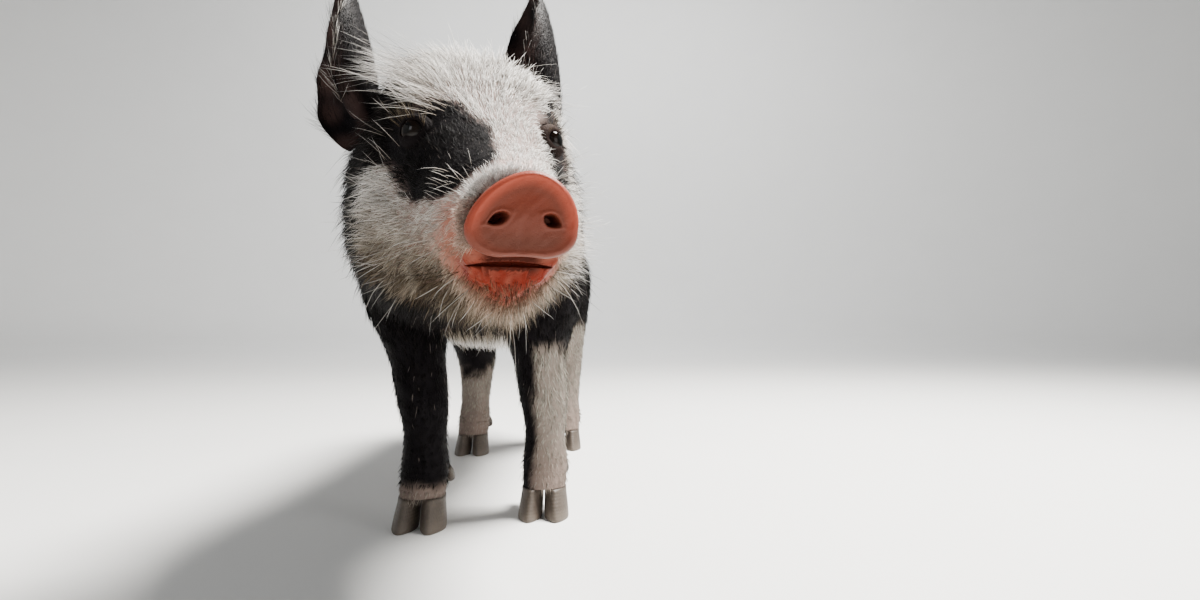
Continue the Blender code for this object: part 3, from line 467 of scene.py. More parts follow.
def tail_skin(along, angle):
    """A tapered round tube about the tail's line, with fine rings of creases."""
    along, angle = np.broadcast_arrays(np.asarray(along, float), np.asarray(angle, float))
    points = tail_line(along)
    tangent = unit(tail_line(np.minimum(along + 0.01, 1.0)) - tail_line(np.maximum(along - 0.01, 0.0)))
    side = unit(np.array([1.0, 0.0, 0.0]) - tangent[..., :1] * tangent)
    radius = TAIL_RADIUS * (1 - along) ** 0.7 + 0.0006 + 0.00015 * np.sin(along * 160.0)
    return points + radius[..., None] * (np.cos(angle)[..., None] * side
                                         + np.sin(angle)[..., None] * np.cross(tangent, side))


# Meshes.
def numbers(items, name, each=1, kind=np.float32):
    """One property of all of a mesh's vertices, edges or faces, as an array with a row for each."""
    values = np.zeros(len(items) * each, kind)
    items.foreach_get(name, values)
    return values.reshape(-1, each) if each > 1 else values


def mesh_piece(name, points, faces, finish, smooth=True):
    """A mesh object from an array of points and a list of face arrays, one for each count of corners."""
    mesh = bpy.data.meshes.new(name)
    points = np.asarray(points, np.float32).reshape(-1, 3)
    faces = [np.asarray(group, np.int32) for group in faces if len(group)]
    loops = np.concatenate([group.ravel() for group in faces])
    sizes = np.concatenate([np.full(len(group), group.shape[1], np.int32) for group in faces])
    mesh.vertices.add(len(points))
    mesh.vertices.foreach_set("co", points.ravel())
    mesh.loops.add(len(loops))
    mesh.loops.foreach_set("vertex_index", loops)
    mesh.polygons.add(len(sizes))
    mesh.polygons.foreach_set("loop_start", np.concatenate([[0], np.cumsum(sizes)[:-1]]).astype(np.int32))
    mesh.update(calc_edges=True)
    if finish is not None:
        mesh.materials.append(finish)
    if smooth:
        mesh.shade_smooth()
    piece = bpy.data.objects.new(name, mesh)
    bpy.context.scene.collection.objects.link(piece)
    return piece


def tube_faces(rows, sides, flip=False):
    """Faces of a tube of rings, closed by one face at each end."""
    index = np.arange(rows * sides).reshape(rows, sides)
    here, over = index[:-1], index[1:]
    quads = np.stack([here, np.roll(here, -1, 1), np.roll(over, -1, 1), over], axis=-1).reshape(-1, 4)
    ends = np.stack([index[0][::-1], index[-1]])
    if flip:
        quads, ends = quads[:, ::-1], ends[:, ::-1]
    return [quads, ends]


def volume(points, faces):
    """Six times the signed volume inside closed faces, fanned into triangles."""
    total = 0.0
    for group in faces:
        corners = points[np.asarray(group)]
        for k in range(1, corners.shape[1] - 1):
            total += dot(corners[:, 0], np.cross(corners[:, k], corners[:, k + 1])).sum()
    return total


def tube(name, rings, finish):
    """A closed tube through rings of equal counts, its faces turned out."""
    rings = np.asarray(rings, float)
    points = rings.reshape(-1, 3)
    faces = tube_faces(*rings.shape[:2])
    if volume(points, faces) < 0:
        faces = tube_faces(*rings.shape[:2], flip=True)
    return mesh_piece(name, points, faces, finish)


def around(count):
    """Equal steps of angle once round."""
    return np.linspace(0.0, 2 * math.pi, count, endpoint=False)


def combine(target, others, operation):
    """One Boolean of the target with other closed meshes, applied, and the others removed."""
    helpers = bpy.data.collections.new("helpers")
    for other in others:
        bpy.context.scene.collection.objects.unlink(other)
        helpers.objects.link(other)
    step = target.modifiers.new("combine", "BOOLEAN")
    step.operand_type = "COLLECTION"
    step.collection = helpers
    step.operation = operation
    step.solver = "MANIFOLD"
    step.material_mode = "TRANSFER"
    applied = bpy.data.meshes.new_from_object(target.evaluated_get(bpy.context.evaluated_depsgraph_get()))
    target.modifiers.clear()
    target.data = applied
    for other in others:
        bpy.data.objects.remove(other)
    bpy.data.collections.remove(helpers)
    return target


def snout_disc():
    """The snout's disc: outlines drawn in over a rounded rim to the middle, dented by two nostrils."""
    # how far from the disc's back to its middle, distance behind its face, share of its outline
    rim = ((0.0, 0.0140, 0.80), (0.14, 0.0080, 0.90), (0.26, 0.0035, 0.985), (0.34, 0.0010, 1.0),
           (0.42, -0.0005, 0.965), (0.50, -0.0012, 0.90), (0.58, -0.0010, 0.82), (0.72, -0.0007, 0.55),
           (1.0, -0.0013, 0.012))
    at, ahead, left, up = spine(0.0)
    stations = np.concatenate([np.linspace(0, 0.5, 26), np.linspace(0.51, 1.0, 56)])
    back, scale = through(rim, stations).T
    angle = around(DISC_SIDES)
    cosine, sine = np.cos(angle), np.sin(angle)
    exponent = 2.0 / np.where(sine >= 0, DISC_ROUND_TOP, DISC_ROUND_BOTTOM)
    side = scale[:, None] * DISC_HALF * power(cosine, exponent)
    reach = np.where(sine >= 0, DISC_TOP - DISC_WIDE, DISC_WIDE - DISC_BOTTOM)
    reach = reach * (1.0 - 0.10 * (sine < 0) * np.exp(-((DISC_HALF * cosine / 0.0050) ** 2)))
    height = scale[:, None] * (DISC_WIDE + reach * power(sine, exponent))
    depth = np.broadcast_to(back[:, None], side.shape).copy()
    front = up_from(stations, 0.46, 0.05)[:, None]
    for way in (-1, 1):
        w, h = way * (side - NOSTRIL_OUT) - NOSTRIL_SIDE, height - NOSTRIL_HEIGHT
        long = w * math.cos(NOSTRIL_SLANT) - h * math.sin(NOSTRIL_SLANT)
        short = w * math.sin(NOSTRIL_SLANT) + h * math.cos(NOSTRIL_SLANT)
        taper = 1.0 - 0.20 * long / NOSTRIL_LONG - 0.30 * (long / NOSTRIL_LONG) ** 2
        radius = np.hypot(long / NOSTRIL_LONG, short / (NOSTRIL_SHORT * np.clip(taper, 0.35, 1.2)))
        depth += front * NOSTRIL_DEEP * down_from(radius, 0.40, 0.66)
        depth -= front * 0.0003 * bell(radius, 1.28, 0.30)
    depth += front * 0.0004 * bell(side, 0.0, 0.0016) * np.clip((0.004 - height) / 0.01, 0, 1)
    side = side + DISC_OUT + DISC_LEAN * np.clip(height - DISC_WIDE, 0.0, None)
    points = at + side[..., None] * left + height[..., None] * up - depth[..., None] * ahead
    points += 0.00005 * ripple(points, 0.0040, 5)[..., None] * -ahead * front[..., None]
    return tube("snout_disc", points, FINISH["snout"])


def lid_opening(turn):
    """The angle between the way an eye looks and its opening's edge: an almond, flatter below."""
    return np.radians(27.0 + 22.0 * np.abs(np.cos(turn)) ** 1.6 - 5.0 * smooth_step(-np.sin(turn) * 4))


def eye_ray(side, polar, turn):
    """Unit ways out of an eyeball's middle, at an angle from the way it looks and a turn about that way."""
    _, looks, across, lid_up = eye_frame(side)
    return (np.cos(polar)[:, None] * looks + (np.sin(polar) * np.cos(turn))[:, None] * across
            + (np.sin(polar) * np.sin(turn))[:, None] * lid_up)


def lids(side):
    """Both lids as one ring round an almond opening: a rolled edge, then creased folds sunk into the head."""
    middle = eye_frame(side)[0]
    turn = around(EYE_SIDES)
    # how far round the fold, degrees outside the opening, share of the eyeball's radius
    profile = ((0.0, 0.0, 0.96), (0.08, -1.0, 1.02), (0.16, 4.0, 1.08), (0.26, 12.0, 1.13),
               (0.34, 18.0, 1.10), (0.42, 25.0, 1.13), (0.54, 38.0, 1.06), (0.66, 56.0, 0.94),
               (0.78, 60.0, 0.80), (0.90, 40.0, 0.76), (1.0, 14.0, 0.80))
    rings = [middle + EYE_RADIUS * out * eye_ray(side, lid_opening(turn) + math.radians(lean), turn)
             for lean, out in through(profile, np.linspace(0, 1, 30))]
    rings = np.stack(rings, axis=1)
    count, rounds = rings.shape[:2]
    index = np.arange(count * rounds).reshape(count, rounds)
    after = np.roll(index, -1, 0)
    quads = np.stack([index, np.roll(index, -1, 1), np.roll(after, -1, 1), after], axis=-1).reshape(-1, 4)
    points = rings.reshape(-1, 3)
    if volume(points, [quads]) < 0:
        quads = quads[:, ::-1]
    return mesh_piece("lids", points, [quads], FINISH["hide"])


def ball(name, side, radius, finish, bulge=0.0):
    """A sphere about the way an eye looks, its front swollen by a cornea's low dome."""
    middle, looks, across, lid_up = eye_frame(side)
    polar = np.linspace(0.0, math.pi, 42)[1:-1]
    turn = around(EYE_SIDES)
    out = radius + bulge * np.exp(-((polar / 0.62) ** 4))
    rings = middle + out[:, None, None] * (
        np.cos(polar)[:, None, None] * looks
        + np.sin(polar)[:, None, None] * (np.cos(turn)[:, None] * across + np.sin(turn)[:, None] * lid_up))
    return tube(name, rings, finish)


def mouth_slabs():
    """Thin slabs that follow the mouth's line round the muzzle and across under the disc, to cut it open."""
    back = np.linspace(MOUTH_END, MOUTH_START, 40)
    at, _, left, up = spine(back)
    half = section(back)[2]
    middle = mouth_height(back)
    fade = 0.5 * np.clip((MOUTH_END - back) / 0.016, 0.10, 1.0)
    slabs = []
    for side in (1, -1):
        inner, outer = side * (half - MOUTH_DEEP * fade), side * (half + 0.006)
        corners = ((inner, -0.3), (inner, 0.3), (outer, 0.55), (outer, -0.55))
        rings = np.stack([at + w[:, None] * left + (middle + lift * MOUTH_OPEN)[:, None] * up
                          for w, lift in corners], axis=1)
        slabs.append(tube("mouth", rings, PART_FINISH["mouth"]))
    at, ahead, left, up = spine(0.010)
    along = np.linspace(-1.0, 1.0, 25)
    arch = MOUTH_FRONT + 0.0002 + 0.0010 * (1.0 - along**2)
    open_half = 0.0002 + 0.0011 * (1.0 - along**2)
    rings = [at + (0.0150 * along)[:, None] * left + depth * ahead + (arch + way * open_half)[:, None] * up
             for depth, way in ((0.0060, -1), (0.0060, 1), (-0.0022, 0.5), (-0.0022, -0.5))]
    return slabs + [tube("mouth", np.stack(rings, axis=1), PART_FINISH["mouth"])]


def soften(piece, weight, rounds):
    """Moves each point towards the mean of its neighbours by its weight, for a number of rounds."""
    mesh = piece.data
    count = len(mesh.vertices)
    points = vertex_points(piece)
    a, b = numbers(mesh.edges, "vertices", 2, np.int32).T
    degree = np.maximum(np.bincount(a, minlength=count) + np.bincount(b, minlength=count), 1)
    for _ in range(rounds):
        mean = np.stack([np.bincount(a, points[b, k], count) + np.bincount(b, points[a, k], count)
                         for k in range(3)], axis=1) / degree[:, None]
        points += weight[:, None] * (mean - points)
    mesh.vertices.foreach_set("co", points.astype(np.float32).ravel())
    mesh.update()
    return points


def vertex_points(piece):
    return numbers(piece.data.vertices, "co", 3).astype(float)


# Markings. Each gives the share of black, 0 to 1, at points, and the colour of the white parts there.
def body_black(points):
    """Black round the near eye down to the snout, a spot by the far eye, the neck and most of the trunk. Each
    marking's value falls with the distance from its middle, in shares of its reach, and its edge is at 0."""
    back, angle, _, _ = body_place(points)
    edge = 0.13 * ripple(points, 0.022, 21) + 0.09 * ripple(points, 0.009, 22)
    wobble = 0.20 * ripple(points, 0.075, 24)
    round_it = turned(angle, 128.0)
    behind = np.interp(round_it, (-40, -21, 0, 15, 32), (0.016, 0.024, 0.034, 0.052, 0.030))
    reach = np.where(back < 0.060, 0.046, behind)
    spread = np.where(round_it > 0, 34.0, 37.0)
    patch = 1.0 - (np.abs(back - 0.060) / reach) ** 3 - (np.abs(round_it) / spread) ** 3
    patch = patch * np.where(back < 0.060, 1.0, 0.55)
    band = 1.0 - (np.abs(back - 0.110) / 0.042) ** 3 - (turned(angle, 140.5) / 18.5) ** 2
    spot = 0.75 - 0.9 * np.sqrt(near(back, 0.080, 0.024) + (turned(angle, 38.0) / 20.0) ** 2)
    top = up_from(np.sin(angle), 0.35, 0.5)
    under = smooth_step((-np.sin(angle) - 0.5) / 0.4)
    nape = (back - (0.102 + 0.056 * top - 0.046 * under)) / (0.014 + 0.012 * under)
    belly = 1.0 - np.sqrt(near(back, 0.33, 0.120) + (turned(angle, 270.0) / 58.0) ** 2)
    flank = 0.85 - np.sqrt(near(back, 0.395, 0.075) + (turned(angle, -8.0) / 44.0) ** 2)
    hip = 0.85 - np.sqrt(near(back, 0.47, 0.060) + (turned(angle, 186.0) / 52.0) ** 2)
    trunk = np.minimum(nape, -4.0 * (np.maximum.reduce([belly, flank, hip]) + wobble) + 0.3)
    value = np.maximum.reduce([4.0 * patch, 3.0 * band, 3.0 * spot, trunk])
    return smooth_step(0.5 + 0.5 * (value + 3.0 * edge))


def body_pale(points):
    """White, turning cream on the cheek, tan towards the jaw's lower edge, reddish at the mouth and brown-red
    on the chin. The cream, tan and chin colours are the hair's own, darkened further as painted shade low on
    the head.
    """
    back, _, _, height = body_place(points)
    # Cream and tan grow towards the jaw: partly the hair's own colour, partly painted shade, darker low on
    # the head.
    cream = smooth_step((0.014 - height) / 0.034) * down_from(back, 0.20, 0.1)
    tan = smooth_step((-0.004 - height) / 0.022) * up_from(back, 0.014, 0.02)
    tan = tan * down_from(back, 0.13, 0.03) * (0.86 + 0.45 * ripple(points, 0.012, 23))
    muzzle = smooth_step((0.030 - back) / 0.016) * (height < 0.004)
    # Brown-red chin hair: partly its own colour, partly painted shade under the jaw.
    chin = smooth_step((0.021 - back) / 0.008) * (height < -0.014)
    colour = WHITE
    for other, share in ((CREAM, 0.85 * cream), (TAN_AND_SHADE, 0.97 * np.clip(tan, 0, 1)), (MUZZLE_HAIR, 0.5 * muzzle),
                         (CHIN_HAIR_AND_SHADE, 0.85 * chin)):
        colour = blend_colour(colour, other, share)
    return colour


def leg_black(name, points):
    """Front right black; front left black inside and above, pale outside below; the hind legs pale, with a
    dark front to the hock."""
    x, y, half_width, half_length = leg_middle(name, np.clip(points[:, 2], PASTERN, 0.19))
    side = LEGS[name][1]
    out = side * (points[:, 0] - x) / half_width
    fore = -(points[:, 1] - y) / half_length
    high = points[:, 2]
    edge = 0.5 * ripple(points, 0.016, 31)
    if name == "front_right":
        value = (high - 0.030) / 0.010 + 0.5
    elif name == "front_left":
        inner = 0.05 - 8.0 * np.clip(0.110 - high, 0, 0.06) - out
        value = np.maximum((high - 0.106) / 0.012, 1.6 * inner)
    elif name == "hind_right":
        value = np.maximum((high - 0.135) / 0.03, 0.8 * fore - 0.5 * ((high - 0.098) / 0.022) ** 2)
    else:
        value = np.maximum((high - 0.120) / 0.02, 1.0 - 5.0 * np.abs(out + 0.1) - (fore < 0) * 2.0)
    return smooth_step(0.5 + 0.5 * (2.6 * value + edge))


def leg_pale(points):
    """White, a little pinker towards the foot."""
    low = smooth_step((0.060 - points[:, 2]) / 0.040)
    return blend_colour(LEG_WHITE, LEG_LOW, 0.6 * low)


def blend_colour(a, b, share):
    """From one colour to the other by the share."""
    a, b, share = np.asarray(a, float), np.asarray(b, float), np.asarray(share, float)[..., None]
    return a * (1.0 - share) + b * share


class Wire:
    """A value in a material. Arithmetic on it adds the node that does it."""

    def __init__(self, finish, socket):
        self.finish, self.socket = finish, socket

    def math(self, operation, *values):
        return self.finish.node("ShaderNodeMath", {"operation": operation}, values)

    def __add__(self, other):
        return self.math("ADD", self, other)

    def __mul__(self, other):
        return self.math("MULTIPLY", self, other)

    def __rsub__(self, other):
        return self.math("SUBTRACT", other, self)

    __radd__, __rmul__ = __add__, __mul__

    def step(self, low, high):
        """0 below low, 1 above high, and smooth between."""
        return self.finish.node("ShaderNodeMapRange", {"interpolation_type": "SMOOTHSTEP"},
                                {"Value": self, "From Min": low, "From Max": high})


class Finish:
    """A Principled material: its constants are set on the shader's own sockets, and patterns are wired in."""

    def __init__(self, name, **constants):
        self.material = bpy.data.materials.new(name)
        self.material.use_nodes = True
        self.tree = self.material.node_tree
        self.shader = self.tree.nodes["Principled BSDF"]
        for socket, value in constants.items():
            self.shader.inputs[socket.replace("_", " ")].default_value = value

    def node(self, kind, settings=None, values=(), output=0):
        """Adds a node, makes its settings, then sets or links its inputs, and gives one of its outputs."""
        made = self.tree.nodes.new(kind)
        for key, value in (settings or {}).items():
            if key == "stops":
                ramp = made.color_ramp
                while len(ramp.elements) < len(value):
                    ramp.elements.new(0.5)
                for element, (place, colour) in zip(ramp.elements, value):
                    element.position, element.color = place, (*colour, 1.0)
            else:
                setattr(made, key, value)
        pairs = values.items() if isinstance(values, dict) else enumerate(values)
        for key, value in pairs:
            if isinstance(value, Wire):
                self.tree.links.new(value.socket, made.inputs[key])
            else:
                made.inputs[key].default_value = value
        return Wire(self, made.outputs[output])

    def own(self, name):
        return self.node("ShaderNodeAttribute", {"attribute_name": name}, output="Color")

    def own_value(self, name):
        return self.node("ShaderNodeAttribute", {"attribute_name": name}, output="Fac")

    def place(self):
        return self.node("ShaderNodeTexCoord", output="Object")

    def noise(self, scale, detail=3.0, rough=0.55, at=None):
        return self.node("ShaderNodeTexNoise", None, {"Vector": at or self.place(), "Scale": scale,
                                                       "Detail": detail, "Roughness": rough})

    def cells(self, scale):
        return self.node("ShaderNodeTexVoronoi", {"feature": "F1"},
                         {"Vector": self.place(), "Scale": scale}, output="Distance")

    def mix(self, share, a, b, blend="MIX"):
        """Two colours mixed by a share."""
        ends = [(*c, 1.0) if isinstance(c, tuple) else c for c in (a, b)]
        return self.node("ShaderNodeMix", {"data_type": "RGBA", "blend_type": blend},
                         {0: share, 6: ends[0], 7: ends[1]}, output=2)

    def own_tint(self, share, patches, dark):
        """The piece's own tint, multiplied by a share of patches between a dark colour and white."""
        return self.mix(share, self.own("tint"), self.mix(patches, dark, (1.0, 1.0, 1.0)), "MULTIPLY")

    def feed(self, socket, wire):
        self.tree.links.new(wire.socket, self.shader.inputs[socket])

    def bump(self, height, distance, strength=1.0):
        self.feed("Normal", self.node("ShaderNodeBump", None, {"Height": height, "Strength": strength,
                                                               "Distance": distance}))


def hide_finish():
    """Skin under the coat: its own tint, mottled, with fine pores and creases."""
    finish = Finish("hide", Metallic=0.0, Specular_IOR_Level=0.04)
    mottle = finish.noise(260.0, 4.0, 0.6)
    finish.feed("Base Color", finish.own_tint(0.55, mottle, (0.30, 0.28, 0.27)))
    finish.feed("Roughness", finish.own_value("gloss") + 0.10 * mottle)
    pores = finish.cells(900.0).step(0.0, 0.5)
    finish.bump(pores * 0.5 + finish.noise(420.0, 4.0), 0.0005, 0.7)
    return finish.material


def snout_finish():
    """Wet snout skin: salmon with a paler rim that is partly painted light, pebbled in small cells, with
    moist patches.
    """
    finish = Finish("snout", Metallic=0.0, Specular_IOR_Level=0.16)
    blotch = finish.noise(190.0, 3.0, 0.6)
    cells = finish.cells(1500.0)
    finish.feed("Base Color", finish.own_tint(0.35, blotch, (0.62, 0.40, 0.40)))
    finish.feed("Roughness", 0.30 + 0.22 * blotch + 0.10 * cells)
    finish.bump(cells.step(0.0, 0.55) * 0.6 + finish.noise(700.0, 3.0) * 0.4, 0.00025, 0.4)
    return finish.material


def bristle_finish():
    """Hair: each tuft's own tint, a little streaked."""
    finish = Finish("bristle", Metallic=0.0, Roughness=0.50, Specular_IOR_Level=0.03)
    finish.feed("Base Color", finish.own_tint(0.25, finish.noise(900.0, 2.0), (0.62, 0.60, 0.58)))
    return finish.material


def eye_finish():
    """A dark eye: nearly black pupil, brown iris with fine rays, and a dull edge, under wet gloss."""
    finish = Finish("eye", Metallic=0.0, Roughness=0.25, Specular_IOR_Level=0.0, Coat_Weight=0.35,
                    Coat_Roughness=0.01)
    polar = finish.own_value("polar")
    rays = finish.noise(1400.0, 3.0)
    iris = finish.mix(rays, (0.003, 0.0016, 0.001), (0.007, 0.0035, 0.002))
    dark = finish.mix(polar.step(0.26, 0.36), (0.002, 0.002, 0.002), iris)
    ringed = finish.mix(polar.step(0.60, 0.75), dark, (0.003, 0.002, 0.002))
    finish.feed("Base Color", finish.mix(polar.step(1.15, 1.30), ringed, (0.10, 0.06, 0.05)))
    return finish.material


def horn_finish():
    """Hoof horn: grey-brown, paler to the sole, with growth rings and fine upright streaks, scuffed below."""
    finish = Finish("horn", Metallic=0.0, Specular_IOR_Level=0.4)
    place = finish.place()
    apart = finish.node("ShaderNodeSeparateXYZ", None, [place], output=2)
    stretched = finish.node("ShaderNodeVectorMath", {"operation": "MULTIPLY"}, [place, (1.0, 1.0, 0.12)])
    streak = finish.noise(900.0, 4.0, 0.65, at=stretched)
    rings = finish.node("ShaderNodeMath", {"operation": "SINE"}, [apart * 3400.0 + 5.0 * finish.noise(120.0)])
    shade = finish.mix(streak, (0.022, 0.018, 0.015), (0.100, 0.076, 0.058))
    finish.feed("Base Color", finish.mix(1.0 - apart.step(0.0, 0.009), shade, (0.10, 0.080, 0.063)))
    finish.feed("Roughness", 0.42 + 0.25 * streak)
    finish.bump(streak * 0.7 + rings * 0.12, 0.0004, 0.8)
    return finish.material


def floor_finish():
    """Matt, pale grey, faintly clouded."""
    finish = Finish("floor", Roughness=0.75, Metallic=0.0)
    grain = finish.noise(6.0, 3.0)
    finish.feed("Base Color", finish.mix(grain, (0.74, 0.74, 0.73), (0.78, 0.78, 0.77)))
    return finish.material


FINISH = {"hide": hide_finish(), "snout": snout_finish(), "bristle": bristle_finish(), "eye": eye_finish(),
          "horn": horn_finish(), "floor": floor_finish()}
PART_FINISH = {part: FINISH["hide"].copy() for part in ("leg", "ear", "tail", "mouth")}


def make_skin():
    """One closed skin: the body's tube joined with the disc, lids, legs, ears and tail, opened at eyes and
    mouth, and eased where limbs meet the trunk."""
    # Rings stand closest on the muzzle, wider over the head and widest down the trunk.
    back = np.concatenate([np.arange(MUZZLE_FRONT, 0.050, 0.0007), np.arange(0.050, 0.150, 0.0013),
                           np.arange(0.150, 0.500, 0.0036), np.linspace(0.502, BODY_LENGTH - 0.0002, 22)])
    turn = around(BODY_SIDES)[None, :]
    front = muzzle_end(turn, np.linspace(0.50, 0.975, 16)[:, None])
    skin = tube("skin", np.concatenate([front, body_skin(back[:, None], turn)]), FINISH["hide"])
    parts = [snout_disc(), lids(-1), lids(1)]
    for name, (rows, _, _, _) in LEGS.items():
        height = np.append(np.arange(rows[0][0], PASTERN - 1e-5, -LEG_STEP), PASTERN)
        rings = leg_skin(name, height[:, None], around(LEG_SIDES)[None, :])
        parts.append(tube(f"leg_{name}", rings, PART_FINISH["leg"]))
    for name in EARS:
        rings = ear_skin(name, np.linspace(0.0, 1.0, EAR_ROWS)[:, None], around(EAR_SIDES)[None, :])
        parts.append(tube(f"ear_{name}", rings, PART_FINISH["ear"]))
    rings = tail_skin(np.linspace(0, 1, TAIL_ROWS)[:, None], around(TAIL_SIDES)[None, :])
    parts.append(tube("tail", rings, PART_FINISH["tail"]))
    combine(skin, parts, "UNION")
    sockets = [ball("socket", side, EYE_RADIUS + 0.00012, FINISH["hide"]) for side in (-1, 1)]
    combine(skin, sockets + mouth_slabs(), "DIFFERENCE")
    points = vertex_points(skin)
    body = np.abs(body_depth(points))
    weight = np.zeros(len(points))
    for name in LEGS:
        limb = np.abs(leg_depth(name, points))
        seam = np.exp(-((limb / 0.008) ** 2) - (body / 0.008) ** 2)
        weight = np.maximum(weight, seam * (points[:, 2] > 0.075))
    return skin, soften(skin, 0.8 * weight, 14)


def skin_parts(skin, points):
    """For each point of the skin, the part that its faces come from, read from their finishes."""
    mesh = skin.data
    names = [m.name for m in mesh.materials]
    index = numbers(mesh.polygons, "material_index", kind=np.int32)
    part = np.zeros(len(points), np.int32)
    part[numbers(mesh.loops, "vertex_index", kind=np.int32)] = np.repeat(
        index, numbers(mesh.polygons, "loop_total", kind=np.int32))
    kinds = {"hide": "body", FINISH["snout"].name: "snout"}
    kinds.update({m.name: key for key, m in PART_FINISH.items()})
    return np.array([kinds[n] for n in names])[part]


def skin_tint(skin, points):
    """The skin's colour and roughness at its points: markings, bare skin, disc, lips, ears and lids. Skin
    under the coat and the strip under the disc carry painted shade.
    """
    normals = numbers(skin.data.vertices, "normal", 3).astype(float)
    kind = skin_parts(skin, points)
    back, _, side, height = body_place(points)
    black = body_black(points)
    bare_muzzle = smooth_step((0.040 - back) / 0.02)
    # Skin under the coat is at half brightness as painted shade from the coat; the bare muzzle keeps its full
    # colour.
    tint = blend_colour(PINK_SKIN, body_pale(points), 0.30) * (0.50 + 0.50 * bare_muzzle)[:, None]
    tint = blend_colour(tint, DARK_SKIN, black)
    gloss = np.full(len(points), 0.55)
    bare = smooth_step((0.034 - back) / 0.016) * smooth_step((0.010 - height) / 0.012)
    tint = blend_colour(tint, BARE_MUZZLE, 0.75 * bare * (1.0 - black))

    front = down_from(back, 0.012, 0.010)
    lip = bell(height, mouth_height(back) - 0.001, np.where(back < 0.0105, 0.0068, 0.0048)) * front
    chin = smooth_step((-0.015 - height) / 0.004) * front
    blotch = 0.80 + 0.25 * ripple(points, 0.004, 42)
    tint = blend_colour(tint, LIP_RED, np.clip(np.maximum(lip, chin) * blotch, 0, 1))
    # A dark strip on the upper lip just under the disc: painted shadow of the disc.
    shelf = down_from(back, 0.0125, 0.003) * (height < -0.0100) * (height > MOUTH_FRONT - 0.001)
    shelf = shelf * down_from(np.abs(side), 0.0070, 0.005)
    tint = blend_colour(tint, LIP_PAINTED_SHADOW, 0.97 * shelf * (kind == "body"))
    gloss -= 0.25 * np.maximum(lip, chin)
    inner = kind == "mouth"
    deep = up_from(back[inner], 0.0105, 0.003)
    tint[inner] = blend_colour(MOUTH_FRONT_RED, MOUTH_BACK_RED, deep)

    for way in (-1, 1):
        away = np.linalg.norm(points - eye_frame(way)[0], axis=1)
        rim = np.exp(-(((away - EYE_RADIUS * 1.04) / 0.0011) ** 2))
        tint = blend_colour(tint, LID_RIM[way], 0.95 * rim)
        lid = down_from(away, EYE_RADIUS * 1.15, 0.0022)
        tint = blend_colour(tint, LID_SKIN[way], 0.9 * lid * (1.0 - rim))
        gloss += 0.25 * lid
    snout = kind == "snout"
    tint[snout] = disc_tint(points[snout])
    for name in LEGS:
        mine = (kind == "leg") & (np.abs(leg_depth(name, points)) < 0.006)
        # Leg skin is at half brightness as painted shade from the coat.
        pale = blend_colour(PINK_SKIN, leg_pale(points[mine]), 0.7) * 0.5
        tint[mine] = blend_colour(pale, DARK_SKIN, leg_black(name, points[mine]))
    for spec in EARS.values():
        root, rise, face, _ = ear_ways(spec)
        mine = np.linalg.norm(points - root - 0.5 * EAR_LENGTH * rise, axis=1) < 0.060
        mine &= kind == "ear"
        inside = smooth_step(dot(normals[mine], face) * 1.5 + 0.5)
        warm = 0.5 + 0.5 * ripple(points[mine], 0.02, 41)
        tint[mine] = blend_colour(DARK_SKIN, EAR_INSIDE, (inside * warm).clip(0, 1))
        gloss[mine] = 0.46
    tail = kind == "tail"
    pale = up_from(points[tail, 1], tail_line(0.35)[1], 0.02)
    tint[tail] = blend_colour(DARK_SKIN, TAIL_PALE, pale)
    return tint, gloss


def disc_tint(points):
    """Salmon, with a paler, warmer rim along the top and a redder band high up, both partly painted light
    from above; a greyer band low down that is painted sheen; an underside wall dark with painted shade, lip
    red at its sides; and dark, red-brown nostrils.
    """
    at, ahead, left, up = spine(0.0)
    side, height, depth = dot(points - at, left), dot(points - at, up), -dot(points - at, ahead)
    side -= DISC_OUT + DISC_LEAN * np.clip(height - DISC_WIDE, 0.0, None)
    n = np.where(height > DISC_WIDE, DISC_ROUND_TOP, DISC_ROUND_BOTTOM)
    reach = np.where(height > DISC_WIDE, DISC_TOP - DISC_WIDE, DISC_WIDE - DISC_BOTTOM)
    share = (np.abs(side / DISC_HALF) ** n + np.abs((height - DISC_WIDE) / reach) ** n) ** (1.0 / n)
    # A paler, warmer rim, only along the top: partly its own colour, partly painted light from above.
    rim = up_from(share, 0.66, 0.26) * up_from(height, -0.011, 0.012)
    # A greyer band low on the disc: painted sheen.
    sheen_band = bell(height, -0.0090, 0.0030) * down_from(share, 0.6, 0.2)
    # The disc's underside wall: dark in the middle as painted shade, lip red towards the sides.
    under = up_from(depth, 0.0016, 0.0025) * (share > 0.70) * (height < 0.0)
    wall = blend_colour(DISC_UNDER_PAINTED_SHADE, LIP_RED, up_from(np.abs(side), 0.0085, 0.004))
    # A redder, brighter band high on the disc: partly its own colour, partly painted light from above.
    red = bell(height, 0.006, 0.006) * down_from(share, 0.5, 0.3)
    hole = (np.abs(height - NOSTRIL_HEIGHT) < 0.0065) * (np.abs(side) < 0.0145)
    deep = up_from(depth, 0.0010, 0.0034) * (share < 0.85) * hole
    tint = SALMON
    for other, part in ((SALMON_RIM_AND_LIGHT, rim), (DISC_LOW_SHEEN, 0.55 * sheen_band), (wall, under), (DISC_HIGH_AND_LIGHT, 0.40 * red),
                        (NOSTRIL_INSIDE, deep)):
        tint = blend_colour(tint, other, part)
    return tint


def dress_skin():
    """The skin with its own tint and gloss at each point, in one finish."""
    skin, points = make_skin()
    tint, gloss = skin_tint(skin, points)
    add_tint(skin.data, tint)
    skin.data.attributes.new("gloss", "FLOAT", "POINT").data.foreach_set("value", gloss.astype(np.float32))
    for i, finish in enumerate(skin.data.materials):
        if finish in PART_FINISH.values():
            skin.data.materials[i] = FINISH["hide"]
    skin.data.shade_smooth()
    return skin


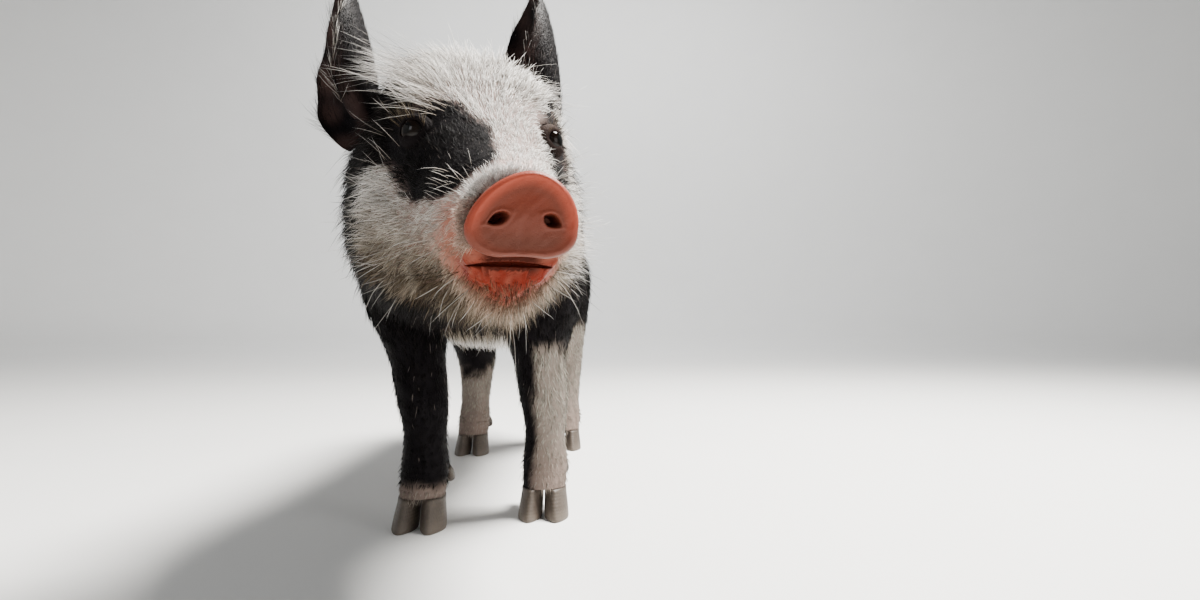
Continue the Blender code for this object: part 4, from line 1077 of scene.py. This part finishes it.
def add_tint(mesh, tint):
    colours = np.ones((len(tint), 4), np.float32)
    colours[:, :3] = np.clip(tint, 0, 1)
    mesh.attributes.new("tint", "FLOAT_COLOR", "POINT").data.foreach_set("color", colours.ravel())


# The coat.
class Coat:
    """Tufts gathered in arrays, one entry each, then made into closed, tapered meshes."""

    WIDTHS = {"root": (3,), "lie": (3,), "normal": (3,), "base": (3,), "tip": (3,), "tile": (2,)}

    def __init__(self, name):
        self.name, self.rows = name, []

    def add(self, **row):
        count = len(row["root"])
        self.rows.append({key: np.broadcast_to(np.asarray(value, float), (count, *self.WIDTHS.get(key, ())))
                          for key, value in row.items()})

    def gather(self):
        return {key: np.concatenate([row[key] for row in self.rows]) for key in self.rows[0]}


def tuft_mesh(name, row, stations):
    """Closed three-sided blades. A blade leaves its root at its lift, bends back to the lie and down with its
    weight, and narrows from its thickest third to a point."""
    count = len(row["root"])
    s = np.asarray(stations)
    lie, normal = row["lie"], row["normal"]
    across = unit(np.cross(normal, lie))
    run = row["length"][:, None] * s
    rise = np.sin(row["lift"])[:, None] * run - row["bend"][:, None] * run * s
    onward = np.cos(row["lift"])[:, None] * run
    path = (row["root"][:, None] - row["sink"][:, None, None] * (1 - s)[None, :, None] * normal[:, None]
            + onward[..., None] * lie[:, None] + rise[..., None] * normal[:, None]
            + (row["sway"][:, None] * run * s)[..., None] * across[:, None])
    path[..., 2] -= row["droop"][:, None] * run * s
    heading = unit(np.gradient(path, axis=1))
    over = unit(np.cross(heading, across[:, None]))
    side = np.cross(over, heading)
    taper = np.sqrt(np.clip(1.0 - s[:-1], 0, 1)) * np.minimum(0.75 + s[:-1] * 1.5, 1.0)
    wide = row["half"][:, None, None] * taper[None, :, None]
    rings = np.stack([path[:, :-1] + wide * (w * side[:, :-1] - h * over[:, :-1])
                      for w, h in ((1.0, -0.35), (0.0, 0.75), (-1.0, -0.35))], axis=2)
    levels = len(s) - 1
    points = np.concatenate([rings.reshape(count, levels * 3, 3), path[:, -1:]], axis=1)
    each = levels * 3 + 1
    base = (np.arange(count) * each)[:, None, None]
    quads, ring = [], np.array([0, 1, 2])
    for level in range(levels - 1):
        a = ring + 3 * level
        b = np.roll(ring, -1) + 3 * level
        quads.append(np.stack([a, b, b + 3, a + 3], axis=1))
    top = 3 * (levels - 1)
    tris = np.concatenate([np.stack([ring + top, np.roll(ring, -1) + top, np.full(3, each - 1)], axis=1),
                           [[2, 1, 0]]])
    faces = []
    if quads:
        faces.append((base + np.concatenate(quads)[None]).reshape(-1, 4))
    faces.append((base + tris[None]).reshape(-1, 3))
    sample = [np.asarray(f[:len(f) // count]) for f in faces]
    if volume(points[0], sample) < 0:
        faces = [f[:, ::-1] for f in faces]
    piece = mesh_piece(name, points.reshape(-1, 3), faces, FINISH["bristle"])
    far = np.append(np.repeat(s[:-1], 3), 1.0)
    shade = far[None, :, None]
    # Each blade's colour runs from its base, darkened as painted shade at the root, to its tip.
    add_tint(piece.data, (row["base"][:, None] * (1 - shade) + row["tip"][:, None] * shade).reshape(-1, 3))
    # The map for baking: each blade has a small square at its root's place on the animal.
    spot = np.stack([np.append(np.tile([0.0, 0.5, 1.0], levels), 0.5), far], axis=1) - 0.5
    place = (row["tile"][:, None] + 0.003 * spot[None]).reshape(-1, 2)
    loops = np.concatenate([f.ravel() for f in faces])
    piece.data.uv_layers.new(name="OFBake").data.foreach_set("uv", place[loops].astype(np.float32).ravel())
    return piece


def grow(coat, stations):
    """The coat's tufts as pieces of fewer triangles than a piece may have."""
    row = coat.gather()
    each = 6 * (len(stations) - 2) + 4
    parts = max(1, math.ceil(len(row["root"]) * each / PIECE_TRIANGLES))
    pieces = []
    for number in range(parts):
        mine = {key: value[number::parts] for key, value in row.items()}
        name = coat.name if parts == 1 else f"{coat.name}_{number + 1}"
        pieces.append(tuft_mesh(name, mine, stations))
    return pieces


def scatter(surface, u_range, v_range, density, chance, cells=(260, 180)):
    """Random places on a surface of two parameters, as many to an area as its density there asks for."""
    u = np.linspace(*u_range, cells[0] + 1)
    v = np.linspace(*v_range, cells[1] + 1)
    mid_u, mid_v = np.meshgrid(0.5 * (u[1:] + u[:-1]), 0.5 * (v[1:] + v[:-1]), indexing="ij")
    step_u, step_v = u[1] - u[0], v[1] - v[0]
    here = surface(mid_u, mid_v)
    area = np.linalg.norm(np.cross(surface(mid_u + 0.5 * step_u, mid_v) - here,
                                   surface(mid_u, mid_v + 0.5 * step_v) - here), axis=-1) * 4.0
    wanted = (area * density(mid_u, mid_v) * 1e6).ravel()
    count = chance.poisson(np.maximum(wanted, 0.0))
    cell = np.repeat(np.arange(len(wanted)), count)
    jitter = chance.uniform(-0.5, 0.5, (len(cell), 2))
    return mid_u.ravel()[cell] + jitter[:, 0] * step_u, mid_v.ravel()[cell] + jitter[:, 1] * step_v


def surface_frame(surface, u, v, du, dv, outward):
    """Points of a surface, its two unit directions and its normal, turned to point away from a middle."""
    here = surface(u, v)
    along = unit(surface(u + du, v) - surface(u - du, v))
    over = surface(u, v + dv) - surface(u, v - dv)
    normal = unit(np.cross(along, over))
    normal *= np.sign(dot(normal, here - outward))[:, None]
    over = unit(over - dot(over, along)[:, None] * along)
    return here, along, over, normal


def body_tile(back, angle):
    """Where a body tuft lies in the map: across it by the distance behind the snout, up it by the angle."""
    share = (angle / (2 * math.pi) + 0.5) % 1.0
    return np.stack([0.01 + 0.98 * back / BODY_LENGTH, 0.36 + 0.63 * share], axis=1)


def limb_tile(number, angle, up):
    """Where a leg's or an ear's tuft lies in the map: in its column by the angle, and at a given height."""
    share = angle / (2 * math.pi) + 0.5
    return np.stack([0.01 + 0.245 * (number + 0.94 * share), up], axis=1)


# Fields of the body's coat at distances behind the snout: over the top, down the side and underneath.
FIELD_AT = (0.008, 0.020, 0.050, 0.080, 0.110, 0.150, 0.200, 0.300, 0.500, 0.542)
LENGTH_MM = ((3.0, 4.2, 6.5, 10.0, 15.0, 19.0, 21.0, 20.0, 19.0, 13.0),
             (2.5, 3.8, 7.5, 12.0, 16.0, 17.0, 16.0, 15.0, 14.0, 11.0),
             (4.0, 8.0, 11.0, 13.0, 15.0, 15.0, 15.0, 15.0, 14.0, 11.0))
LIFT_DEG = ((20.0, 13.0, 11.0, 12.0, 20.0, 25.0, 20.0, 13.0, 11.0, 12.0),
            (16.0, 12.0, 11.0, 12.0, 15.0, 15.0, 12.0, 9.0, 8.0, 10.0),
            (36.0, 36.0, 34.0, 30.0, 26.0, 20.0, 16.0, 12.0, 11.0, 12.0))
HALF_MM = (0.11, 0.11, 0.125, 0.14, 0.16, 0.20, 0.25, 0.29, 0.31, 0.29)
PER_MM2 = (1.8, 1.85, 1.6, 1.25, 0.92, 0.56, 0.33, 0.26, 0.24, 0.28)


def field(table, back, angle):
    """A value read from the top, side and bottom rows and shared between them by the angle."""
    top, side, bottom = (np.interp(back, FIELD_AT, row) for row in table)
    sine = np.sin(angle)
    return side + np.clip(sine, 0, 1) ** 1.6 * (top - side) + np.clip(-sine, 0, 1) ** 1.6 * (bottom - side)


def eye_distance(points):
    """How far points are from the nearer eyeball's middle."""
    return np.minimum(*(np.linalg.norm(points - eye_frame(side)[0], axis=-1) for side in (-1, 1)))


def body_density(back, angle):
    """Tufts to a square millimetre: none on the eyes, few on the lips and the bare skin beside the disc."""
    points = body_skin(back, angle)
    eye = up_from(eye_distance(points), 0.0098, 0.0030)
    at, _, _, up = spine(back)
    height = dot(points - at, up)
    lips = bell(height, mouth_height(back), 0.0036)
    lips = 1.0 - 0.95 * lips * down_from(back, 0.017, 0.008)
    chin = smooth_step((-0.014 - height) / 0.004) * (1.0 - smooth_step((-0.0185 - height) / 0.005))
    chin = 1.0 - 0.45 * chin * down_from(back, 0.0125, 0.004)
    bare = 1.0 - 0.20 * smooth_step((0.030 - back) / 0.012) * smooth_step((0.006 - height) / 0.008)
    return np.interp(back, FIELD_AT, PER_MM2) * eye * lips * chin * bare


def hair_colour(black, pale, chance):
    """Each hair's colour at its base and its tip: near a marking's edge hairs of both kinds stand mixed. The
    base is darkened as painted shade deep in the coat.
    """
    count = len(black)
    share = np.clip((black - chance.uniform(0.25, 0.75, count)) * 6.0 + 0.5, 0, 1)
    light = pale * (0.34 + 0.78 * chance.uniform(0, 1, count) ** 0.6)[:, None]
    # Some black hairs take a lighter, browner black at random: partly their own colour, partly painted sheen.
    dark = blend_colour(BLACK, BROWN_BLACK_AND_SHEEN, chance.uniform(0, 1, count) ** 2)
    dark = blend_colour(dark, GREY_HAIR, 0.6 * (chance.uniform(0, 1, count) < 0.016))
    tip = blend_colour(light, dark, share)
    base = blend_colour(light * HAIR_ROOT_PAINTED_SHADE, dark * 0.7, share)
    return base, tip


def clump(chance, root, normal, size):
    """Cells of a wavy grid: each root's way to the middle of its cell, and chance values that they share."""
    wavy = root / size + 0.8 * np.stack([ripple(root, 2.5 * size, 81 + k) for k in range(3)], axis=1)
    cell = np.unique(np.floor(wavy).astype(np.int64), axis=0, return_inverse=True)[1].ravel()
    share = np.bincount(cell)[:, None]
    middle = np.stack([np.bincount(cell, root[:, k]) for k in range(3)], axis=1) / share
    pull = middle[cell] - root
    pull -= dot(pull, normal)[:, None] * normal
    return pull, chance.uniform(-1.0, 1.0, (len(share), 3))[cell]


def coat_row(coat, chance, root, lie, normal, length, half, lift, black, pale, tile, cell=0.0026, mottle=0.0,
             even=0.0, gather=0.75, loose=0.16, bend=0.10, droop=0.05):
    """Adds tufts whose sizes and ways vary a little about the fields' values. A clump is a cell wide, a share
    mottle lighter or darker than the next, and gathers its tips; on the beard this mottle is partly painted
    shade between the clumps. Loose is their stray in radians, and even is how far a root has its tip's
    colour, taking away the painted shade at the root."""
    count = len(root)
    pull, mood = clump(chance, root, normal, cell)
    base, tip = hair_colour(black, pale, chance)
    # Each clump's tips are lighter or darker at random; where mottle is set it widens this, as painted shade
    # between clumps.
    tip = tip * (1.0 + (0.20 + np.reshape(mottle, (-1, 1))) * mood[:, :1])
    base = base * (1.0 + 0.25 * mood[:, :1])
    base = base + even * (tip - base)
    length = length * (1.0 + 0.16 * mood[:, 1])
    lift = lift * (1.0 + 0.35 * mood[:, 2])
    lie = unit(lie + gather * pull / np.reshape(length, (-1, 1)))
    twist = chance.normal(0.0, loose, count)
    across = np.cross(normal, lie)
    lie = unit(lie * np.cos(twist)[:, None] + across * np.sin(twist)[:, None])
    coat.add(root=root, lie=lie, normal=normal, base=base, tip=tip, tile=tile,
             length=length * chance.lognormal(0.0, 0.20, count), half=half * chance.uniform(0.75, 1.2, count),
             lift=lift * chance.uniform(0.55, 1.5, count), bend=bend,
             sway=chance.normal(0.0, 0.09, count), droop=droop, sink=ROOT_SINK)


def body_lie(back, angle, onward, over, points):
    """The coat's lie: back from the snout, fanning out over the crown, down the cheeks and flanks."""
    crown = 0.75 * up_from(back, 0.045, 0.05) * down_from(back, 0.17, 0.06)
    fan = crown * np.sin(2.0 * angle - math.pi) * np.clip(np.sin(angle), 0, 1)
    fall = -(0.22 + 0.20 * up_from(back, 0.06, 0.05)) * np.cos(angle) * (np.sin(angle) < 0.55)
    swirl = 0.20 * ripple(points, 0.045, 51) + 0.10 * ripple(points, 0.015, 52)
    return unit(onward + (fan + fall + swirl)[:, None] * over)


def body_coat(coat, low, high, chance):
    """Tufts over a stretch of the body, left out where a limb grows from it."""
    back, angle = scatter(body_skin, (low, high), (-math.pi, math.pi), body_density, chance)
    middle = spine(back)[0]
    root, onward, over, normal = surface_frame(body_skin, back, angle, 2e-4, 2e-3, middle)
    keep = np.ones(len(back), bool)
    for name in LEGS:
        keep &= (leg_depth(name, root) > -0.002) | (root[:, 2] > 0.165)
    back, angle, root, onward, over, normal = (v[keep] for v in (back, angle, root, onward, over, normal))
    lie = body_lie(back, angle, onward, over, root)
    length = field(LENGTH_MM, back, angle) * 1e-3
    near_eye = down_from(eye_distance(root), 0.010, 0.012)
    length = length * (1.0 - 0.62 * near_eye) * (1.0 + 0.18 * ripple(root, 0.012, 53))
    lift = np.radians(field(LIFT_DEG, back, angle)) * (1.0 - 0.4 * near_eye)
    half = np.interp(back, FIELD_AT, HALF_MM) * 1e-3
    below = np.clip(-np.sin(angle), 0, 1)
    # The beard's clumps get a wider light and dark spread: partly random tone, partly painted shade between
    # them.
    beard = smooth_step((0.25 - np.sin(angle)) / 0.5) * down_from(back, 0.10, 0.05)
    coat_row(coat, chance, root, lie, normal, length, half, lift, body_black(root), body_pale(root),
             body_tile(back, angle), droop=0.04 + 0.12 * below, bend=0.12, mottle=0.45 * beard)


def leg_coat(coat, name, number, chance):
    """Short hair down a leg, with a fringe over the horn."""
    surface = partial(leg_skin, name)
    top = LEGS[name][0][0][0] - 0.001
    height, angle = scatter(surface, (PASTERN, top), (-math.pi, math.pi),
                            lambda h, a: np.interp(h, (0.018, 0.05, 0.12, 0.18), (0.58, 0.42, 0.27, 0.24)),
                            chance, (120, 60))
    x, y, _, _ = leg_middle(name, height)
    middle = np.stack([x, y, height], axis=1)
    root, up, over, normal = surface_frame(surface, height, angle, 2e-4, 2e-3, middle)
    keep = body_depth(root) > -0.001
    height, angle, root, up, over, normal = (v[keep] for v in (height, angle, root, up, over, normal))
    fall = 0.30 * np.cos(angle)[:, None] * over * LEGS[name][1]
    lie = unit(-up + fall + 0.12 * ripple(root, 0.02, 61)[:, None] * over)
    length = np.interp(height, (0.018, 0.03, 0.08, 0.14, 0.19), (4.5, 4.2, 6.5, 10.0, 14.0)) * 1e-3
    half = np.interp(height, (0.018, 0.06, 0.14), (0.19, 0.23, 0.33)) * 1e-3
    lift = np.radians(np.interp(height, (0.018, 0.03, 0.10, 0.16), (9.0, 13.0, 12.0, 12.0)))
    coat_row(coat, chance, root, lie, normal, length, half, lift, leg_black(name, root), leg_pale(root),
             limb_tile(number, angle, 0.01 + height / 0.20 * 0.18), droop=0.0)


def ear_coat(coat, name, number, chance):
    """Short black hair on an ear's back, thinner inside it, with a paler fringe along its rim."""
    surface = partial(ear_skin, name)

    def density(along, turn):
        inside = smooth_step(np.sin(turn) * 4.0 + 0.5)
        rim = bell(np.sin(turn), 0.0, 0.30)
        return (1.2 * (1 - inside) + 0.14 * inside + 1.3 * rim) * (along > 0.05)

    along, turn = scatter(surface, (0.02, 0.985), (-math.pi, math.pi), density, chance, (90, 120))
    middle = ear_sheet(name, along, power(np.cos(turn), 0.80), np.zeros_like(along))
    root, up, over, normal = surface_frame(surface, along, turn, 2e-3, 4e-3, middle)
    keep = body_depth(root) > 0.0005
    along, turn, root, up, over, normal = (v[keep] for v in (along, turn, root, up, over, normal))
    rim = bell(np.sin(turn), 0.0, 0.25)
    inside = smooth_step(np.sin(turn) * 4.0 + 0.5) * (1 - rim)
    lie = unit(up + (0.5 * rim * np.sign(np.cos(turn)))[:, None] * over * 0.2)
    length = (4.2 + 3.8 * rim - 0.8 * inside + 5.0 * (1 - along) ** 3) * 1e-3
    lift = np.radians(11.0 + 14.0 * rim + 8.0 * inside)
    pale_rim = rim * (0.10 + 0.90 * (np.cos(turn) < 0)) * (0.62 if name == "right" else 0.35)
    black = np.clip(0.94 - 0.85 * pale_rim + 0.12 * ripple(root, 0.01, 71), 0, 1)
    coat_row(coat, chance, root, lie, normal, length, 0.00009, lift, black, np.array(WHITE) * 0.9,
             limb_tile(number, turn, 0.20 + 0.12 * along), droop=0.0)


def tail_coat(coat, chance):
    """Hair along the tail, longer to its tip, where it makes a tassel."""
    along, angle = scatter(tail_skin, (0.10, 0.995), (-math.pi, math.pi),
                           lambda a, w: 1.2 + 0.9 * up_from(a, 0.6, 0.4), chance, (120, 24))
    root, up, _, normal = surface_frame(tail_skin, along, angle, 2e-3, 4e-3, tail_line(along))
    keep = body_depth(root) > 0.0
    along, angle, root, up, normal = (v[keep] for v in (along, angle, root, up, normal))
    length = (6.0 + 12.0 * up_from(along, 0.45, 0.5)) * 1e-3
    black = down_from(along, 0.4, 0.2)
    tile = np.stack([0.52 + 0.20 * along, 0.20 + 0.12 * (angle / (2 * math.pi) + 0.5)], axis=1)
    coat_row(coat, chance, root, up, normal, length, 0.00016, np.radians(16.0), black, np.array(WHITE), tile,
             bend=0.08)


def whisker_coat(coat, chance):
    """Long, fine whiskers on the muzzle, the chin and over the eyes."""
    # distance behind the snout and its spread, angle and its spread, count, length in mm, lift in degrees
    spots = []
    for way, sign in ((0.0, 1), (180.0, -1)):
        spots += [(0.024, 0.010, way + sign * 26.0, 16.0, 34, 11.0, 30.0),
                  (0.030, 0.012, way - sign * 22.0, 14.0, 20, 19.0, 40.0),
                  (0.096, 0.006, way + sign * 62.0, 8.0, 16, 17.0, 40.0),
                  (0.090, 0.016, way - sign * 4.0, 24.0, 90, 20.0, 48.0)]
    spots.append((0.026, 0.012, 270.0, 34.0, 36, 18.0, 48.0))
    for middle, spread, way, fan, count, length, lift in spots:
        back = np.clip(chance.normal(middle, spread * 0.6, count), 0.0115, 0.14)
        angle = np.radians(chance.normal(way, fan, count))
        root, onward, _, normal = surface_frame(body_skin, back, angle, 2e-4, 2e-3, spine(back)[0])
        keep = eye_distance(root) > 0.0105
        back, angle, root, onward, normal = (v[keep] for v in (back, angle, root, onward, normal))
        dark = np.where(chance.uniform(size=len(back)) < 0.45 * (np.sin(angle) < -0.3), 1.0, 0.02)
        coat_row(coat, chance, root, onward, normal, length * 1e-3, 0.00009, np.radians(lift), dark,
                 np.array(WHITE) * 0.9, body_tile(back, angle), droop=0.10, bend=0.16, loose=0.30, gather=0.0)


def fringe_coat(coat, chance):
    """Short white hair on the muzzle's front, between the disc and the coat, spread out from the disc."""
    count = 3500
    back = np.full(count, MUZZLE_FRONT)
    angle = np.radians(chance.uniform(-34.0, 214.0, count))
    middle, ahead, _, _ = spine(back)
    root = muzzle_end(angle, chance.uniform(0.76, 1.0, count))
    way = root - middle
    lie = unit(way - dot(way, ahead)[:, None] * ahead)
    coat_row(coat, chance, root, lie, ahead, 0.0042, 0.00010, np.radians(42.0), np.zeros(count),
             body_pale(root), body_tile(back, angle), droop=0.0, loose=0.3, gather=0.3, even=0.8)


def sweep_coat(coat, chance):
    """Long white bristles that leave the crown and sweep out over the near ear, fewer on the far side."""
    # side, count, length in mm, angles from the top, stretch of the body, room round the eye
    groups = ((-1, 250, 34.0, (12.0, 33.0), (0.076, 0.128), 0.0105),
              (1, 160, 18.0, (12.0, 44.0), (0.076, 0.128), 0.0165),
              (1, 150, 13.0, (60.0, 125.0), (0.020, 0.085), 0.0165))
    for way, count, length, turn, stretch, room in groups:
        back = chance.uniform(*stretch, count)
        angle = np.radians(90.0 - way * chance.uniform(*turn, count))
        clear = eye_distance(body_skin(back, angle)) > room
        back, angle = back[clear], angle[clear]
        count = len(back)
        root, onward, _, normal = surface_frame(body_skin, back, angle, 2e-4, 2e-3, spine(back)[0])
        _, _, left, up = spine(back)
        heading = unit(0.95 * way * left + (0.16 if way < 0 else 0.05) * up + 0.30 * onward
                       + 0.09 * chance.normal(size=(count, 3)))
        leave = np.clip(dot(heading, normal), 0.10, 0.9)
        lie = unit(heading - dot(heading, normal)[:, None] * normal)
        black = np.where(chance.uniform(size=count) < 0.15, 1.0, 0.0)
        coat_row(coat, chance, root, lie, normal, length * 1e-3, 0.00010, np.arcsin(leave), black,
                 np.array(WHITE), body_tile(back, angle), droop=0.03, loose=0.06, cell=0.006, gather=0.3)


def lash_coat(coat, chance):
    """Pale lashes that leave the upper lid's edge and curve up and out."""
    for side in (-1, 1):
        middle, looks, _, lid_up = eye_frame(side)
        turn = np.radians(chance.uniform(15.0, 165.0, 26))
        ray = eye_ray(side, lid_opening(turn) + math.radians(6.0), turn)
        root = middle + EYE_RADIUS * 1.12 * ray
        lie = unit(0.75 * unit(ray - 0.3 * looks) + 0.45 * looks)
        normal = unit(np.cross(np.cross(lie, lid_up), lie))
        back, angle, _, _ = body_place(root)
        black = np.full(len(turn), 0.1)
        coat_row(coat, chance, root, lie, normal, 0.0075, 0.00007, np.radians(10.0), black,
                 np.array(CREAM) * 0.6, body_tile(back, angle), droop=0.06, bend=-0.05, loose=0.14,
                 gather=0.0)


# Shares of a tuft's length at which its blade has a ring, or its point.
SHORT, LONG, FINE = (0.0, 0.5, 1.0), (0.0, 0.30, 0.66, 1.0), (0.0, 0.22, 0.46, 0.74, 1.0)
HEAD_COAT = (0.055, 0.165)


def make_coat():
    """The coat, region by region, from one run of chance."""
    chance = np.random.default_rng(COAT_SEED)

    def region(name, stations, *layers):
        """The pieces of one region: each layer is a function of the coat, its own values and the chance."""
        coat = Coat(name)
        for fill, *values in layers:
            fill(coat, *values, chance)
        return grow(coat, stations)

    return [
        *region("coat_muzzle", SHORT, (body_coat, 0.0092, HEAD_COAT[0])),
        *region("coat_head", LONG, (body_coat, *HEAD_COAT)),
        *region("coat_trunk", SHORT, (body_coat, HEAD_COAT[1], BODY_LENGTH - 0.001)),
        *region("coat_legs", SHORT, *((leg_coat, name, number) for number, name in enumerate(LEGS))),
        *region("coat_ears", SHORT, *((ear_coat, name, number) for number, name in enumerate(EARS))),
        *region("coat_tail", SHORT, (tail_coat,)),
        *region("whiskers", FINE, (whisker_coat,), (sweep_coat,), (fringe_coat,), (lash_coat,)),
    ]


def make_eyes():
    """Eyeballs with a cornea's dome, and each point's angle from the middle of its front, for the iris."""
    pieces = []
    for side, word in ((-1, "right"), (1, "left")):
        eye = ball(f"eyeball_{word}", side, EYE_RADIUS - 0.0004, FINISH["eye"], bulge=0.0005)
        middle, looks, _, _ = eye_frame(side)
        rays = unit(vertex_points(eye) - middle)
        polar = np.arccos(np.clip(dot(rays, looks), -1, 1)).astype(np.float32)
        eye.data.attributes.new("polar", "FLOAT", "POINT").data.foreach_set("value", polar)
        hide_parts(f"eye_{word}")
        pieces.append(eye)
    return pieces


def toe_rings(foot, side):
    """A hoofed toe: level outlines, blunt behind and narrow in front, from the pastern to a flat sole."""
    drop = np.array([0.0, 0.06, 0.14, 0.26, 0.42, 0.58, 0.74, 0.86, 0.94, 0.98, 1.0])
    angle = around(40)
    front = np.clip(-np.sin(angle), 0.0, 1.0)
    spread = (TOE_HALF + 0.0004 + TOE_SPLAY * drop)[:, None]
    swell = 1.0 + 0.14 * np.sin(np.minimum(drop, 0.9) * math.pi / 1.8)
    swell = (swell - 0.05 * up_from(drop, 0.94, 0.06))[:, None]
    crown = (0.05 * bell(drop, 0.0, 0.10))[:, None]
    x = foot[0] + side * spread + TOE_HALF * (swell + crown) * np.cos(angle) * (1.0 - 0.28 * front**2)
    y = foot[1] - 0.0072 * drop[:, None] + TOE_LENGTH * (swell + crown) * np.sin(angle) * (1.0 + 0.18 * front)
    height = np.broadcast_to((TOE_TOP * (1.0 - drop))[:, None], x.shape)
    return np.stack([x, y, height], axis=-1)


def dewclaw_rings(leg, side):
    """A small tapered horn that points down, back and out behind the pastern."""
    height = 0.0310
    x, y, _, half_length = (value[0] for value in leg_middle(leg, [height]))
    root = np.array([x + side * 0.0085, y + half_length - 0.0050, height])
    heading = np.array([side * 0.25, 0.62, -0.74])
    right = unit(np.array([1.0, 0.0, 0.0]) - heading[0] * heading / heading.dot(heading))
    other = np.cross(heading, right) / np.linalg.norm(heading)
    angle, far = around(22), np.linspace(0.001, 0.0135, 14)
    # distance along the horn, radius
    rows = through(((0.0, 0.0042), (0.0065, 0.0044), (0.0108, 0.0034), (0.0128, 0.0022), (0.0135, 0.0010)),
                   far)
    return (root + far[:, None, None] * heading
            + rows[:, :1, None] * (np.cos(angle)[:, None] * right + 0.85 * np.sin(angle)[:, None] * other))


def make_claws():
    """Two hoofed toes and two dewclaws on each foot."""
    pieces = []
    for name in LEGS:
        x, y, _, _ = (value[0] for value in leg_middle(name, [PASTERN]))
        for way in (-1, 1):
            toe = "outer" if way == LEGS[name][1] else "inner"
            horn = tube(f"hoof_{name}_{toe}", toe_rings((x, y), way), FINISH["horn"])
            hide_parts(f"toe_{name}_{toe}")
            spur = tube(f"spur_{name}_{toe}", dewclaw_rings(name, way), FINISH["horn"])
            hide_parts(f"dewclaw_{name}_{toe}")
            pieces += [horn, spur]
    return pieces


# share of the way out, radius, height
FLOOR_PROFILE = ((0.0, 0.001, 0.0), (0.5, 3.0, 0.0), (0.7, 3.9, 0.25), (0.85, 4.2, 1.1), (1.0, 4.25, 3.2))
# name, place, where it points, size, watts, colour
LAMPS = (
    ("key", (0.55, 0.15, 1.30), (0.02, -0.10, 0.15), 0.50, 120.0, (1.0, 0.97, 0.92)),
    ("fill", (-0.9, -1.3, 0.75), (0.0, -0.1, 0.15), 0.5, 4.0, (0.94, 0.97, 1.0)),
    ("side", (1.2, -0.7, 0.45), (0.0, -0.1, 0.15), 0.7, 5.0, (1.0, 0.99, 0.97)),
    ("backdrop", (0.0, 2.2, 2.3), (0.0, 4.2, 0.6), 1.6, 90.0, (1.0, 1.0, 1.0)),
)
SKY_COLOUR, SKY_STRENGTH = (0.93, 0.96, 1.0, 1.0), 0.18
# The camera's place, its film's width in millimetres, and the photograph's width, focal length and horizon
# below its middle in pixels.
CAMERA_AT, FILM_WIDTH = (0.075, -0.42, 0.12), 36.0
PHOTO_WIDTH, PHOTO_FOCAL, HORIZON_BELOW = 1200.0, 675.0, 25.0


def make_studio():
    """A pale floor that sweeps up all round, soft lamps, a pale world and the camera."""
    rows, sides = 40, 72
    out, rise = through(FLOOR_PROFILE, np.linspace(0, 1, rows)).T
    turn = around(sides)
    rise = np.broadcast_to(np.maximum(rise, 0.0)[:, None], (rows, sides))
    points = np.stack([out[:, None] * np.cos(turn), out[:, None] * np.sin(turn), rise], axis=-1)
    quads, ends = tube_faces(rows, sides)
    floor = mesh_piece("floor", points, [quads[:, ::-1], ends[:1, ::-1]], FINISH["floor"])
    for name, at, to, size, watts, colour in LAMPS:
        lamp = bpy.data.lights.new(name, "AREA")
        lamp.energy, lamp.size, lamp.color = watts, size, colour
        lamp_object = bpy.data.objects.new(name, lamp)
        lamp_object.location = at
        lamp_object.rotation_euler = (Vector(to) - Vector(at)).to_track_quat("-Z", "Y").to_euler()
        bpy.context.scene.collection.objects.link(lamp_object)
    world = bpy.data.worlds.new("studio")
    world.use_nodes = True
    sky = world.node_tree.nodes["Background"]
    sky.inputs["Color"].default_value, sky.inputs["Strength"].default_value = SKY_COLOUR, SKY_STRENGTH
    bpy.context.scene.world = world
    camera = bpy.data.cameras.new("camera")
    camera.lens, camera.sensor_width = FILM_WIDTH * PHOTO_FOCAL / PHOTO_WIDTH, FILM_WIDTH
    camera.clip_start = 0.01
    camera_object = bpy.data.objects.new("camera", camera)
    camera_object.location = Vector(CAMERA_AT) + Vector(SHIFT)
    camera_object.rotation_euler = (math.radians(90.0) + math.atan(HORIZON_BELOW / PHOTO_FOCAL), 0.0, 0.0)
    bpy.context.scene.collection.objects.link(camera_object)
    bpy.context.scene.camera = camera_object


def main():
    skin = dress_skin()
    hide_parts("head", "neck", "torso", "snout", "ear_right", "ear_left", "tail",
                *(f"leg_{name}" for name in LEGS))
    coat = make_coat()
    for piece in [skin, *coat, *make_eyes(), *make_claws()]:
        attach(piece, "root")
    make_studio()


main()
